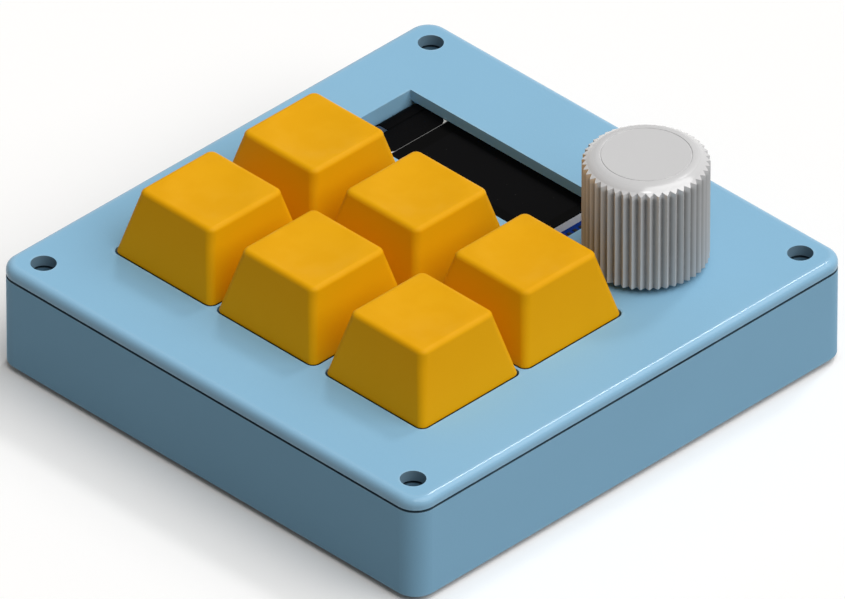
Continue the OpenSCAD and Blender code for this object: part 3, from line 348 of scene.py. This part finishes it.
def display_film():
    """Black polariser: a slightly paler active area under a smooth sheet with fine dust."""
    f = Finish("display_film", Specular_IOR_Level=0.012)
    low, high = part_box("display_face")
    x, y = f.along("X"), f.along("Y")
    inside = x.over(low.x + FILM_INSET) * (1 - x.over(high.x - FILM_INSET_RIGHT))
    inside = inside * y.over(low.y + FILM_INSET) * (1 - y.over(high.y - FILM_INSET_BACK))
    dust = f.specks(0.0009, 0.07) * f.noise(0.006, 2).ramp(0.48, 0.66)
    colour = f.mix(inside, srgb(5, 5, 5), srgb(9, 9, 10))
    f.set(Base_Color=f.mix(dust * 0.22, colour, srgb(150, 150, 150)))
    smear = f.noise(0.005, 4)
    f.set(Roughness=0.16 + smear * 0.12 + dust * 0.3, Normal=f.relief(smear, 0.000004))
    return f.material


def flex_film():
    """Black flexible film with faint conductors, a fold pressed in at the panel's end, and painted shade
    along that fold.
    """
    f = Finish("flex_film", Specular_IOR_Level=0.012)
    lanes = (f.along("Y") / LANE_PITCH).maths("FRACT")
    tracks = lanes.ramp(0.40, 0.52)
    fold = f.line("X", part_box("display_panel")[0].x, 0.10 * MM, 0.24 * MM)
    colour = f.mix(tracks * 0.4, srgb(5, 5, 6), srgb(11, 11, 11))
    # painted shade: the fold's crease painted black
    f.set(Base_Color=f.mix(fold * 0.9, colour, srgb(0, 0, 0)))
    f.set(Roughness=0.34 + f.noise(0.002, 3) * 0.16, Normal=f.relief(tracks - fold * 2, 0.000012))
    return f.material


def panel_glass():
    """Pale glass body of the display, with a ground edge and a line of glue along the flex's end."""
    f = Finish("panel_glass", Specular_IOR_Level=0.3, Coat_Weight=0.15, Coat_Roughness=0.08)
    ground = f.noise(0.00012, 3)
    tint = f.mix(f.noise(0.003, 3) * 0.5, srgb(253, 252, 247), srgb(240, 240, 234))
    top = f.along("Z").over(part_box("display_panel")[1].z - 0.1 * MM)
    glue = top * f.line("X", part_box("display_face")[0].x, 0.20 * MM, 0.24 * MM)
    tint = f.mix(glue, tint, srgb(118, 118, 118))
    f.set(Base_Color=tint, Roughness=0.28 + ground * 0.20, Normal=f.relief(ground, 0.000005))
    return f.material


def rubber():
    """Dark rubber with a dusty skin."""
    f = Finish("rubber", Specular_IOR_Level=0.3)
    grain = f.noise(0.0003, 4)
    dust = f.noise(0.003, 4).ramp(0.45, 0.75)
    f.set(Base_Color=f.mix(dust * 0.35, srgb(34, 34, 35), srgb(84, 83, 80)))
    f.set(Roughness=0.70 + grain * 0.18, Normal=f.relief(grain, 0.00003))
    return f.material


CASE = case_plastic()
AMBER = keycap_plastic()
KNOB = knob_plastic()
RUBBER = rubber()
FILM = display_film()
FLEX = flex_film()
GLASS = panel_glass()
BLACK = plain_plastic("black_plastic", srgb(28, 28, 30))
CHIP = plain_plastic("chip_black", srgb(9, 9, 10), 0.5)
COVER = plain_plastic("switch_cover_plastic", srgb(50, 50, 52), 0.38)
BASE = plain_plastic("switch_base_plastic", srgb(28, 28, 30), 0.48)
WHITE = plain_plastic("white_plastic", srgb(226, 226, 222), 0.4)
SLATE = plain_plastic("slate_foam", srgb(122, 137, 158), 0.55, 0.00025)
STEM = plain_plastic("stem_plastic", srgb(205, 146, 20), 0.30, 0.0003)
STEEL = metal("steel", srgb(196, 197, 200))
SPRING = metal("spring_steel", srgb(206, 206, 206), 0.22, (0.1, 0.1, 1))
BARE = metal("aluminium", srgb(208, 209, 211), 0.28, (0.1, 0.1, 1))
GOLD = metal("contact_brass", srgb(224, 184, 96), 0.24)
TIN = metal("solder_tin", srgb(190, 193, 198), 0.30, (1, 1, 1))
GREEN_BOARD = circuit_board("main_board_green", srgb(14, 74, 46), srgb(34, 116, 72), 0.0011)
BLACK_BOARD = circuit_board("controller_board_black", srgb(20, 20, 23), srgb(44, 44, 48), 0.0007)
BLUE_BOARD = circuit_board("display_board_blue", srgb(0, 42, 118), srgb(8, 74, 172), 0.0008, 0.06)

SLOT_FINISH = {
    "case_plastic": CASE, "rubber": RUBBER, "main_board_green": GREEN_BOARD, "steel": STEEL,
    "keycap_plastic": AMBER, "stem_plastic": STEM, "switch_cover_plastic": COVER,
    "switch_base_plastic": BASE, "spring_steel": SPRING, "contact_brass": GOLD,
    "display_board_blue": BLUE_BOARD, "panel_glass": GLASS, "display_film": FILM,
    "flex_film": FLEX, "black_plastic": BLACK, "aluminium": BARE, "white_plastic": WHITE,
    "knob_plastic": KNOB, "controller_board_black": BLACK_BOARD}

for part in frame["record"]["subparts"]:
    mesh = NODES[part["node"]].data
    mesh.materials.clear()
    mesh.materials.append(SLOT_FINISH[part["material_slot"]])


# Mesh making

ARC = 8


def ring(half_x, half_y, radius, z, side=1):
    """Points round a level rectangle with round corners, anticlockwise, centred on the Z axis.
    ARC steps turn each corner, and side steps lie along each straight part."""
    points = []
    for quarter, (sx, sy) in enumerate(((1, 1), (-1, 1), (-1, -1), (1, -1))):
        centre = Vector((sx * (half_x - radius), sy * (half_y - radius), z))
        for i in range(ARC + 1):
            a = math.radians(90 * (quarter + i / ARC))
            points.append(centre + radius * Vector((math.cos(a), math.sin(a), 0)))
    if side == 1:
        return points
    full = []
    for i, p in enumerate(points):
        full.append(p)
        if i % (ARC + 1) == ARC:
            after = points[(i + 1) % len(points)]
            full += [p.lerp(after, k / side) for k in range(1, side)]
    return full


def round_ring(radius, z, count):
    """Points round a level circle, anticlockwise, centred on the Z axis."""
    turn = 2 * math.pi / count
    return [Vector((radius * math.cos(i * turn), radius * math.sin(i * turn), z)) for i in range(count)]


class Shell:
    """A mesh being made from closed rings of points, joined one after another."""

    def __init__(self):
        self.mesh = bmesh.new()

    def add(self, points):
        return [self.mesh.verts.new(p) for p in points]

    def join(self, first, second):
        """Joins two rows with as many corners each."""
        count = len(first)
        for i in range(count):
            k = (i + 1) % count
            self.mesh.faces.new((first[i], first[k], second[k], second[i]))

    def rings(self, *rings):
        """Joins the rings in turn and gives back the rows of corners."""
        rows = [self.add(points) for points in rings]
        for first, second in zip(rows, rows[1:]):
            self.join(first, second)
        return rows

    def close(self, row, point):
        """Joins a row to one point."""
        tip = self.mesh.verts.new(point)
        for i, corner in enumerate(row):
            self.mesh.faces.new((corner, row[(i + 1) % len(row)], tip))

    def lid(self, row):
        """Closes a row with one flat face."""
        self.mesh.faces.new(row)

    def plate(self, rows):
        """Fills the flat area between an outer row and the rows of its holes."""
        edges = []
        for row in rows:
            for i, corner in enumerate(row):
                pair = (corner, row[(i + 1) % len(row)])
                edges.append(self.mesh.edges.get(pair) or self.mesh.edges.new(pair))
        bmesh.ops.triangle_fill(self.mesh, use_beauty=True, edges=edges)

    def piece(self, name, finish, body, slot=None, at=(0, 0, 0), sharp=38, stands_for=()):
        """Makes the object, which rides on body. Edges over sharp degrees stay crisp."""
        bmesh.ops.recalc_face_normals(self.mesh, faces=self.mesh.faces)
        bmesh.ops.translate(self.mesh, vec=Vector(at), verts=self.mesh.verts)
        data = bpy.data.meshes.new(name)
        self.mesh.to_mesh(data)
        self.mesh.free()
        data.polygons.foreach_set("use_smooth", [True] * len(data.polygons))
        data.set_sharp_from_angle(angle=math.radians(sharp))
        data.materials.append(finish)
        obj = bpy.data.objects.new(name, data)
        bpy.context.scene.collection.objects.link(obj)
        weighted = obj.modifiers.new("weighted_normals", "WEIGHTED_NORMAL")
        weighted.keep_sharp = True
        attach(obj, body)
        if stands_for:
            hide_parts(*stands_for)
        return obj


def box_of(node):
    """The node's lowest and highest corners and its middle."""
    low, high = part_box(node)
    return low, high, (low + high) / 2


# Keycaps

CAP_TOP = 13.35 * MM         # width at the height of the top
CAP_WALL = 1.2 * MM
CAP_RIM = 0.8 * MM           # radius of the top's rounded rim
CAP_RIM_STEPS = 7
CAP_DISH = 0.4 * MM
CAP_ROOF = 1.1 * MM
CAP_LIP = 0.18 * MM          # rounding of the skirt's lower edge
CAP_SIDE = 10                # steps along a side
CAP_CORNER = 1 * MM
CAP_CORNER_TOP = 1.2 * MM
CAP_CORNER_LIP = 0.85 * MM
CAP_CORNER_IN = 0.9 * MM
FLANK_LEVELS = (2.5, 5, 7.5)
DISH_SHARES = (0.985, 0.96, 0.92, 0.86, 0.78, 0.68, 0.56, 0.42, 0.26, 0.12)
POST_R = 2.75 * MM
POST_ROOT = 0.5 * MM
POST_BREAK = 0.15 * MM
POST_LIFT = 0.1 * MM         # from the stem's shoulder to the post
STEM_CROSS_H = 3.6 * MM
CROSS = (2.08 * MM, 0.68 * MM, 0.58 * MM)    # half length, and half widths of the two arms
CROSS_DEEP = 3.9 * MM


def cross_reach(angle):
    """Distance from the middle to the wall of a cross-shaped hole."""
    length, thick_y, thick_x = CROSS
    c, s = abs(math.cos(angle)) + 1e-9, abs(math.sin(angle)) + 1e-9
    return max(min(length / c, thick_y / s), min(thick_x / c, length / s))


def make_keycap(number):
    """Hollow keycap with tapered flanks and a dished top, and the post that takes the stem's cross."""
    low, high, middle = box_of(f"keycap_{number}")
    half, height = (high.x - low.x) / 2, high.z - low.z
    slope = (half - CAP_TOP / 2) / height
    rim_z = height - CAP_RIM
    shell = Shell()

    def level(z, inset=0.0, corner=CAP_CORNER):
        return ring(half - slope * z - inset, half - slope * z - inset, corner, z, CAP_SIDE)

    outside = [level(0, CAP_LIP, CAP_CORNER_LIP), level(CAP_LIP * 0.3, CAP_LIP * 0.3), level(CAP_LIP)]
    outside += [level(z * MM, 0, (1.0 + 0.02 * z) * MM) for z in FLANK_LEVELS]
    for i in range(CAP_RIM_STEPS + 1):
        a = math.pi / 2 * i / CAP_RIM_STEPS
        inset = CAP_RIM * (1 - math.cos(a))
        flank = half - slope * rim_z - inset
        outside.append(ring(flank, flank, CAP_CORNER_TOP - inset, rim_z + CAP_RIM * math.sin(a), CAP_SIDE))
    flat = half - slope * rim_z - CAP_RIM
    bowl = (flat ** 2 + CAP_DISH ** 2) / (2 * CAP_DISH)
    edge = outside[-1]
    for share in DISH_SHARES:
        points = []
        for p in edge:
            x, y = p.x * share, p.y * share
            drop = max(0.0, CAP_DISH - (x * x + y * y) / (2 * bowl))
            points.append(Vector((x, y, height - drop)))
        outside.append(points)
    rows = shell.rings(*outside)
    shell.close(rows[-1], (0, 0, height - CAP_DISH))

    roof = height - CAP_DISH - CAP_ROOF
    inner = [level(z, inset, CAP_CORNER_IN) for z, inset in
             ((0, CAP_WALL - 0.1 * MM), (0.12 * MM, CAP_WALL), (roof - POST_ROOT, CAP_WALL),
              (roof, CAP_WALL + POST_ROOT))]
    rows_in = shell.rings(*inner)
    shell.join(rows[0], rows_in[0])
    foot = box_of(f"switch_stem_{number}")[1].z - STEM_CROSS_H + POST_LIFT - low.z
    count = len(rows_in[-1])
    angles = [math.atan2(p.y, p.x) for p in inner[-1]]
    corners = [math.atan2(sy * y, sx * x) for x, y in (CROSS[:2], CROSS[2::-2])
               for sx in (1, -1) for sy in (1, -1)]
    for corner in corners:
        nearest = min(range(count), key=lambda i: abs(math.remainder(angles[i] - corner, 2 * math.pi)))
        angles[nearest] = corner

    def about(reach, z):
        return [Vector((reach(a) * math.cos(a), reach(a) * math.sin(a), z)) for a in angles]

    post = shell.rings(about(lambda a: POST_R + POST_ROOT, roof), about(lambda a: POST_R, roof - POST_ROOT),
                       about(lambda a: POST_R, foot + POST_BREAK), about(lambda a: POST_R - POST_BREAK, foot),
                       about(cross_reach, foot), about(cross_reach, foot + CROSS_DEEP))
    shell.join(rows_in[-1], post[0])
    shell.close(post[-1], (0, 0, foot + CROSS_DEEP))
    return shell.piece(f"cap_{number}", AMBER, f"key_{number}", "keycap_plastic",
                       (middle.x, middle.y, low.z), stands_for=[f"keycap_{number}"])


for number in KEYS:
    make_keycap(number)


# Knob

RIBS = 45
RIB_STEPS = 8
FIRST_RIB = 6                # step at which a rib's tip stands
RIB_DEPTH = 0.62 * MM
RIB_CREST = 0.93             # share of the depth past which a rib's tip is rounded
RIB_EASE = 0.4
RIB_LIP = (0.03 * MM, 0.04 * MM)    # inward and down, at the ribs' upper edge
RIB_FOOT = 0.20 * MM
KNOB_ROUND = 2.34 * MM       # radius of the shoulder
KNOB_ROUND_STEPS = 12
KNOB_RIB_DROP = 0.36 * MM    # fall of the ribs' upper ends
KNOB_RECESS_R = 4.4 * MM
KNOB_RECESS = 2.5 * MM
KNOB_BORE = 10.3 * MM
BORE_R = 3.03 * MM
BORE_FLAT_L = 7.2 * MM
FLAT_AT = 1.53 * MM
FACE_GROOVE = (0.24 * MM, 0.10 * MM)


def make_knob():
    """Ribbed knob with a grooved face, a rounded shoulder, and the bore for the D-shaped shaft."""
    low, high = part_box("knob")
    axis = box_of("encoder_bushing")[2]
    tip = high.x - axis.x
    height = high.z - low.z
    disc = tip - KNOB_ROUND
    core = tip - RIB_DEPTH
    shoulder = core - 0.04 * MM
    count = RIBS * RIB_STEPS

    def rib(i):
        """Radius of the ribbed outline: sharp grooves, ribs very slightly rounded."""
        across = abs(((i - FIRST_RIB) / RIB_STEPS) % 1.0 - 0.5) * 2
        if across > RIB_CREST:
            across = RIB_CREST + RIB_EASE * (across - RIB_CREST)
        return core + RIB_DEPTH * across

    def turned(reach, z):
        """A row of corners. The radius and the height are numbers, or functions of the corner's number."""
        turn = 2 * math.pi / count
        radii = [reach(k) if callable(reach) else reach for k in range(count)]
        heights = [z(k) if callable(z) else z for k in range(count)]
        return [Vector((r * math.cos(k * turn), r * math.sin(k * turn), h))
                for k, (r, h) in enumerate(zip(radii, heights))]

    drop = KNOB_ROUND - math.sqrt(KNOB_ROUND ** 2 - (shoulder - disc) ** 2)

    def slope(r):
        """Height of the ribs' upper ends at a radius."""
        return height - drop - KNOB_RIB_DROP * (r - shoulder) / (tip - shoulder)

    groove_w, groove_h = FACE_GROOVE
    rows = [turned(disc * 0.5, height), turned(disc - groove_w, height),
            turned(disc - groove_w * 0.75, height - groove_h),
            turned(disc - groove_w * 0.25, height - groove_h),
            turned(disc, height)]
    full = math.asin((shoulder - disc) / KNOB_ROUND)
    for i in range(1, KNOB_ROUND_STEPS + 1):
        a = full * i / KNOB_ROUND_STEPS
        rows.append(turned(disc + KNOB_ROUND * math.sin(a), height - KNOB_ROUND * (1 - math.cos(a))))
    lip_in, lip_down = RIB_LIP
    rows.append(turned(lambda k: rib(k) - lip_in, lambda k: slope(rib(k) - lip_in)))
    rows.append(turned(rib, lambda k: slope(rib(k)) - lip_down))
    rows.append(turned(rib, height * 0.5))
    rows.append(turned(rib, RIB_FOOT))
    rows.append(turned(lambda k: rib(k) - RIB_FOOT, 0.0))
    rows.append(turned(KNOB_RECESS_R + 0.15 * MM, 0.0))
    rows.append(turned(KNOB_RECESS_R, 0.15 * MM))
    rows.append(turned(KNOB_RECESS_R, KNOB_RECESS))
    rows.append(turned(BORE_R + 0.2 * MM, KNOB_RECESS))
    rows.append(turned(BORE_R, KNOB_RECESS + 0.2 * MM))

    def bore(k):
        """Radius of the D-shaped bore."""
        c = math.cos(2 * math.pi * k / count)
        return min(BORE_R, FLAT_AT / c) if c > 0 else BORE_R

    flat_from = KNOB_BORE - BORE_FLAT_L
    rows.append(turned(BORE_R, flat_from))
    rows.append(turned(bore, flat_from + 0.001 * MM))
    rows.append(turned(bore, KNOB_BORE))
    shell = Shell()
    made = shell.rings(*rows)
    shell.close(made[0], (0, 0, height))
    shell.close(made[-1], (0, 0, KNOB_BORE))
    return shell.piece("ribbed_knob", KNOB, "knob_and_shaft", "knob_plastic",
                       (axis.x, axis.y, low.z), sharp=12, stands_for=["knob"])


make_knob()


# Switch springs

SPRING_TURNS = 9
SPRING_STEPS = 28
SPRING_SIDES = 10
SPRING_WIRE = 0.3 * MM
SPRING_CLOSED = 0.75         # turns that lie close at each end
SPRING_EASE = 0.5            # turns over which they open


def make_spring(number):
    """Round wire wound on, with the first and the last turn lying close."""
    low, high, middle = box_of(f"switch_spring_{number}")
    wire = SPRING_WIRE / 2
    reach = (high.x - low.x) / 2 - wire
    rise = high.z - low.z - SPRING_WIRE
    count = SPRING_TURNS * SPRING_STEPS
    open_share = []
    for i in range(count):
        turns = min(i + 0.5, count - i - 0.5) / SPRING_STEPS
        t = min(1.0, max(0.0, (turns - SPRING_CLOSED) / SPRING_EASE))
        open_share.append(t * t * (3 - 2 * t))
    closed = SPRING_WIRE / SPRING_STEPS
    wide = (rise - closed * sum(1 - t for t in open_share)) / sum(open_share)
    bends = [2 * math.pi * k / SPRING_SIDES for k in range(SPRING_SIDES)]
    shell, z, sections = Shell(), wire, []
    for i in range(count + 1):
        a = 2 * math.pi * i / SPRING_STEPS
        out = Vector((math.cos(a), math.sin(a), 0))
        sections.append([out * (reach + wire * math.cos(b)) + Vector((0, 0, z + wire * math.sin(b)))
                         for b in bends])
        if i < count:
            z += closed + (wide - closed) * open_share[i]
    rows = shell.rings(*sections)
    shell.lid(rows[0][::-1])
    shell.lid(rows[-1])
    spring = shell.piece(f"spring_{number}", SPRING, "case", "spring_steel", (middle.x, middle.y, low.z),
                         sharp=60, stands_for=[f"switch_spring_{number}"])
    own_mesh(spring)


for number in KEYS:
    make_spring(number)


# Feet, display, key frame and socket details

FOOT_R = 4 * MM
FOOT_ROUND = 0.3 * MM
FOOT_TOP = 0.05 * MM         # from the tray to the pad
FOOT_DIMPLE = ((2.3 * MM, 0.0), (2.1 * MM, 0.12 * MM), (1.0 * MM, 0.16 * MM))
FOOT_SIDES = 64

SOLDER_R = 0.85 * MM
SOLDER_H = 0.5 * MM
SOLDER_SIDES = 24
SOLDER_FORM = ((1.0, 0.0), (0.86, 0.10), (0.70, 0.26), (0.56, 0.50), (0.47, 0.76), (0.40, 0.94), (0.30, 1.0))
PINS = 4
PIN_W = 0.64 * MM
CHIPS = 9
CHIP_PITCH = 1.1 * MM
CHIP_HALF = (0.55 * MM, 0.3 * MM)
CHIP_SHIFT = 0.1 * MM

FLEX_T = 0.15 * MM
FLEX_TAIL = 7 * MM           # width of the tail
PAD_FIT = 0.02 * MM
PAD_STEPS = 24
FLAP_IN = 0.3 * MM           # from the board's front edge to the flap
FLAP_T = 0.1 * MM

LID_T = 1.6 * MM
FRAME_GAP = 0.22 * MM
FRAME_BREAK = 0.05 * MM
FRAME_HOLD = 0.6 * MM        # part of the frame's border that lies in the lid
FRAME_SINK = 0.02 * MM

STRIPS = 12
STRIP_PITCH = 0.5 * MM
STRIP_HALF = (0.13 * MM, 0.03 * MM)
STRIP_FACE = 0.35 * MM       # from the tongue's middle to its faces
STRIP_SPAN = (4.6 * MM, 0.5 * MM)


def make_feet():
    """Rubber pads with a rounded lower edge and a shallow dimple underneath."""
    low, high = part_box("rubber_feet")
    sizes = [(FOOT_R, high.z - FOOT_TOP), (FOOT_R, low.z + FOOT_ROUND)]
    sizes += [(FOOT_R - FOOT_ROUND * (1 - math.cos(a)), low.z + FOOT_ROUND * (1 - math.sin(a)))
              for a in (math.pi / 8, math.pi / 4, 3 * math.pi / 8, math.pi / 2)]
    sizes += [(r, low.z + up) for r, up in FOOT_DIMPLE]
    shell = Shell()
    for sx in (-1, 1):
        for sy in (-1, 1):
            centre = Vector((sx * (high.x - FOOT_R), sy * (high.y - FOOT_R), 0))
            rows = shell.rings(*[[p + centre for p in round_ring(r, z, FOOT_SIDES)] for r, z in sizes])
            shell.close(rows[0], centre + Vector((0, 0, sizes[0][1])))
            shell.close(rows[-1], centre + Vector((0, 0, sizes[-1][1])))
    shell.piece("foot_pads", RUBBER, "case", "rubber", stands_for=["rubber_feet"])


def bar(shell, low, high, chamfer):
    """Box with rounded edges."""
    size = [(b - a) / 2 for a, b in zip(low, high)]
    middle = Vector([(a + b) / 2 for a, b in zip(low, high)])
    made = bmesh.ops.create_cube(shell.mesh, size=2.0)["verts"]
    for corner in made:
        corner.co = Vector([c * s for c, s in zip(corner.co, size)]) + middle
    edges = list({e for corner in made for e in corner.link_edges})
    bmesh.ops.bevel(shell.mesh, geom=edges, offset=chamfer, segments=2, profile=0.5, affect="EDGES")


def solder_cone(shell, centre):
    """Cone of solder that swells at its foot."""
    rows = shell.rings(*[[p + centre for p in round_ring(SOLDER_R * r, SOLDER_H * z, SOLDER_SIDES)]
                         for r, z in SOLDER_FORM])
    shell.close(rows[-1], centre + Vector((0, 0, SOLDER_H)))
    shell.close(rows[0], centre)


def make_display_details():
    """Solder round the four pins and a row of small chips beside the display panel."""
    board_high, board_mid = box_of("display_board")[1:]
    pins_low, pins_high, pins_mid = box_of("display_pins")
    panel_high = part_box("display_panel")[1]
    step = (pins_high.y - pins_low.y - PIN_W) / (PINS - 1)
    solder = Shell()
    for i in range(PINS):
        solder_cone(solder, Vector((pins_mid.x, pins_low.y + PIN_W / 2 + i * step, board_high.z)))
    solder.piece("display_solder", TIN, "case", sharp=60)
    chips = Shell()
    half_x, half_y = CHIP_HALF
    x = (panel_high.x + pins_low.x) / 2 - CHIP_SHIFT
    for i in range(CHIPS):
        y = board_mid.y + (i - CHIPS // 2) * CHIP_PITCH
        bar(chips, (x - half_x, y - half_y, board_high.z - 0.03 * MM),
            (x + half_x, y + half_y, board_high.z + 0.08 * MM), 0.04 * MM)
    chips.piece("display_parts", CHIP, "case", "black_plastic")


def make_flex_pad():
    """Slate-grey pad that fills the bend of the display's flex, with a flap on the board before it.
    Its outline in X and Z follows the panel's end, the bend, and the board's end and top."""
    flex_low, flex_high, flex_mid = box_of("display_flex")
    board_low, board_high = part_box("display_board")
    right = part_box("display_panel")[0].x - PAD_FIT
    floor = board_high.z + PAD_FIT
    half = (flex_high.z - flex_low.z) / 2
    reach = half - FLEX_T - PAD_FIT
    middle_x = flex_low.x + half
    last = 2 * math.pi - math.acos((board_low.x - PAD_FIT - middle_x) / reach)
    profile = [(right, floor), (right, flex_mid.z + reach)]
    for i in range(PAD_STEPS + 1):
        angle = math.pi / 2 + (last - math.pi / 2) * i / PAD_STEPS
        profile.append((middle_x + reach * math.cos(angle), flex_mid.z + reach * math.sin(angle)))
    profile.append((board_low.x - PAD_FIT, floor))
    front, back = flex_high.y - FLEX_TAIL + PAD_FIT, flex_high.y - PAD_FIT
    shell = Shell()
    rows = shell.rings(*[[Vector((x, y, z)) for x, z in profile] for y in (front, back)])
    shell.plate(rows[:1])
    shell.plate(rows[1:])
    bar(shell, (board_low.x + PAD_FIT, board_low.y + FLAP_IN, board_high.z - PAD_FIT),
        (right, front - PAD_FIT, board_high.z + FLAP_T), 0.03 * MM)
    shell.piece("flex_pad", SLATE, "case")


def make_key_frame():
    """The lid's grid round the keys: a round-cornered hole for each keycap, with a broken edge."""
    caps = [box_of(f"keycap_{number}") for number in KEYS]
    low = Vector([min(cap[0][axis] for cap in caps) - FRAME_HOLD for axis in range(3)])
    high = Vector([max(cap[1][axis] for cap in caps) + FRAME_HOLD for axis in range(3)])
    top, bottom = LID_TOP - FRAME_SINK, LID_TOP - LID_T + FRAME_SINK

    def outline(size_x, size_y, radius, z, centre):
        return [p + Vector((centre.x, centre.y, 0)) for p in ring(size_x / 2, size_y / 2, radius, z)]

    size, middle = high - low, (low + high) / 2
    levels = ((FRAME_GAP + FRAME_BREAK, top), (FRAME_GAP, top - FRAME_BREAK), (FRAME_GAP, bottom))
    shell = Shell()
    rim = shell.rings(*[outline(size.x, size.y, CAP_CORNER + FRAME_HOLD, z, middle) for z in (top, bottom)])
    over, under = [rim[0]], [rim[-1]]
    for cap_low, cap_high, centre in caps:
        wide, deep = cap_high.x - cap_low.x, cap_high.y - cap_low.y
        rows = shell.rings(*[outline(wide + 2 * gap, deep + 2 * gap, CAP_CORNER + gap, z, centre)
                             for gap, z in levels])
        over.append(rows[0])
        under.append(rows[-1])
    shell.plate(over)
    shell.plate(under)
    shell.piece("key_frame", CASE, "case", "case_plastic")


def make_socket_contacts():
    """Contact strips on both faces of the socket's tongue."""
    high, middle = box_of("usb_tongue")[1:]
    half_x, half_z = STRIP_HALF
    rear, front = STRIP_SPAN
    shell = Shell()
    for i in range(STRIPS):
        x = middle.x + (i - (STRIPS - 1) / 2) * STRIP_PITCH
        for side in (-1, 1):
            z = middle.z + side * STRIP_FACE
            bar(shell, (x - half_x, high.y - rear, z - half_z),
                (x + half_x, high.y - front, z + half_z), 0.015 * MM)
    shell.piece("socket_contacts", GOLD, "case", "contact_brass")


make_feet()
make_display_details()
make_flex_pad()
make_key_frame()
make_socket_contacts()


# Stage, light and camera

FLOOR_HALF = 1.6
PALE = srgb(255, 255, 255)
BOUNCE = srgb(124, 124, 124)
SKY_SOFT = (1.0, 0.955, 0.90, 1.0)
SKY_LEVEL = 0.24
SUNS = {"key_light": (Vector((0.45, 0.18, 0.72)), 2.28, 66),    # towards the sun, its strength, its width
        "back_light": (Vector((-0.14, 0.58, 0.79)), 0.45, 8),
        "front_light": (Vector((0.354, -0.354, 0.866)), 0.18, 11)}
SEEN_RAYS = ("Is Camera Ray", "Is Glossy Ray", "Is Transmission Ray")


def seen(finish):
    """1 for what the camera sees, straight, mirrored or through glass, 0 for the light that bounces."""
    straight, mirrored, through = (finish.node("LightPath", out=ray) for ray in SEEN_RAYS)
    return straight.maths("MAXIMUM", mirrored).maths("MAXIMUM", through)


def make_floor():
    """Level floor, white to the camera and grey to the light that bounces."""
    f = Finish("pale_floor", Specular_IOR_Level=0.1, Roughness=0.9)
    f.set(Base_Color=f.mix(seen(f), BOUNCE, PALE))
    shell = Shell()
    row = shell.add([(FLOOR_HALF * x, FLOOR_HALF * y, 0) for x, y in ((-1, -1), (1, -1), (1, 1), (-1, 1))])
    shell.lid(row)
    data = bpy.data.meshes.new("floor")
    shell.mesh.to_mesh(data)
    shell.mesh.free()
    data.materials.append(f.material)
    floor = bpy.data.objects.new("floor", data)
    bpy.context.scene.collection.objects.link(floor)


def make_sky():
    """Soft even light from all round, and plain white behind the object."""
    world = bpy.data.worlds.new("studio")
    bpy.context.scene.world = world
    world.use_nodes = True
    tree = world.node_tree
    tree.nodes.clear()
    out = tree.nodes.new("ShaderNodeOutputWorld")
    joined = tree.nodes.new("ShaderNodeMixShader")
    soft = tree.nodes.new("ShaderNodeBackground")
    white = tree.nodes.new("ShaderNodeBackground")
    path = tree.nodes.new("ShaderNodeLightPath")
    soft.inputs["Color"].default_value = SKY_SOFT
    soft.inputs["Strength"].default_value = SKY_LEVEL
    white.inputs["Color"].default_value = (1, 1, 1, 1)
    white.inputs["Strength"].default_value = 1.0
    mask = path.outputs[SEEN_RAYS[0]]
    for ray in SEEN_RAYS[1:]:
        either = tree.nodes.new("ShaderNodeMath")
        either.operation = "MAXIMUM"
        tree.links.new(mask, either.inputs[0])
        tree.links.new(path.outputs[ray], either.inputs[1])
        mask = either.outputs[0]
    tree.links.new(mask, joined.inputs[0])
    tree.links.new(soft.outputs[0], joined.inputs[1])
    tree.links.new(white.outputs[0], joined.inputs[2])
    tree.links.new(joined.outputs[0], out.inputs[0])


def make_sun(name, towards, strength, softness):
    """Sun that shines from the given side, softness degrees wide."""
    data = bpy.data.lights.new(name, "SUN")
    data.energy = strength
    data.angle = math.radians(softness)
    lamp = bpy.data.objects.new(name, data)
    lamp.rotation_mode = "QUATERNION"
    lamp.rotation_quaternion = towards.to_track_quat("Z", "Y")
    bpy.context.scene.collection.objects.link(lamp)


LENS = 1200
SENSOR = 36
PHOTO_WIDTH_PX = 845
PX_PER_MM = 7.606
AZIMUTH = math.radians(45)
ELEVATION = math.radians(35.264)
AIM_RIGHT = 0.059 * MM
AIM_DOWN = 5.44 * MM


def make_camera():
    """Camera with a very long lens, near to the photograph's parallel view along a cube's diagonal."""
    back = Vector((math.sin(AZIMUTH) * math.cos(ELEVATION), -math.cos(AZIMUTH) * math.cos(ELEVATION),
                   math.sin(ELEVATION)))
    right = Vector((math.cos(AZIMUTH), math.sin(AZIMUTH), 0))
    up = back.cross(right)
    aim = Vector((0, 0, LID_TOP)) + right * AIM_RIGHT - up * AIM_DOWN
    width = PHOTO_WIDTH_PX / PX_PER_MM * MM
    data = bpy.data.cameras.new("camera")
    data.lens, data.sensor_width, data.sensor_fit = LENS, SENSOR, "HORIZONTAL"
    distance = width * LENS / SENSOR
    data.clip_start, data.clip_end = distance * 0.1, distance * 3
    camera = bpy.data.objects.new("camera", data)
    camera.location = aim + back * distance
    camera.rotation_mode = "QUATERNION"
    camera.rotation_quaternion = back.to_track_quat("Z", "Y")
    bpy.context.scene.collection.objects.link(camera)
    bpy.context.scene.camera = camera


make_floor()
make_sky()
for name, (towards, strength, softness) in SUNS.items():
    make_sun(name, towards, strength, softness)
make_camera()
bpy.context.scene.view_settings.view_transform = "Standard"
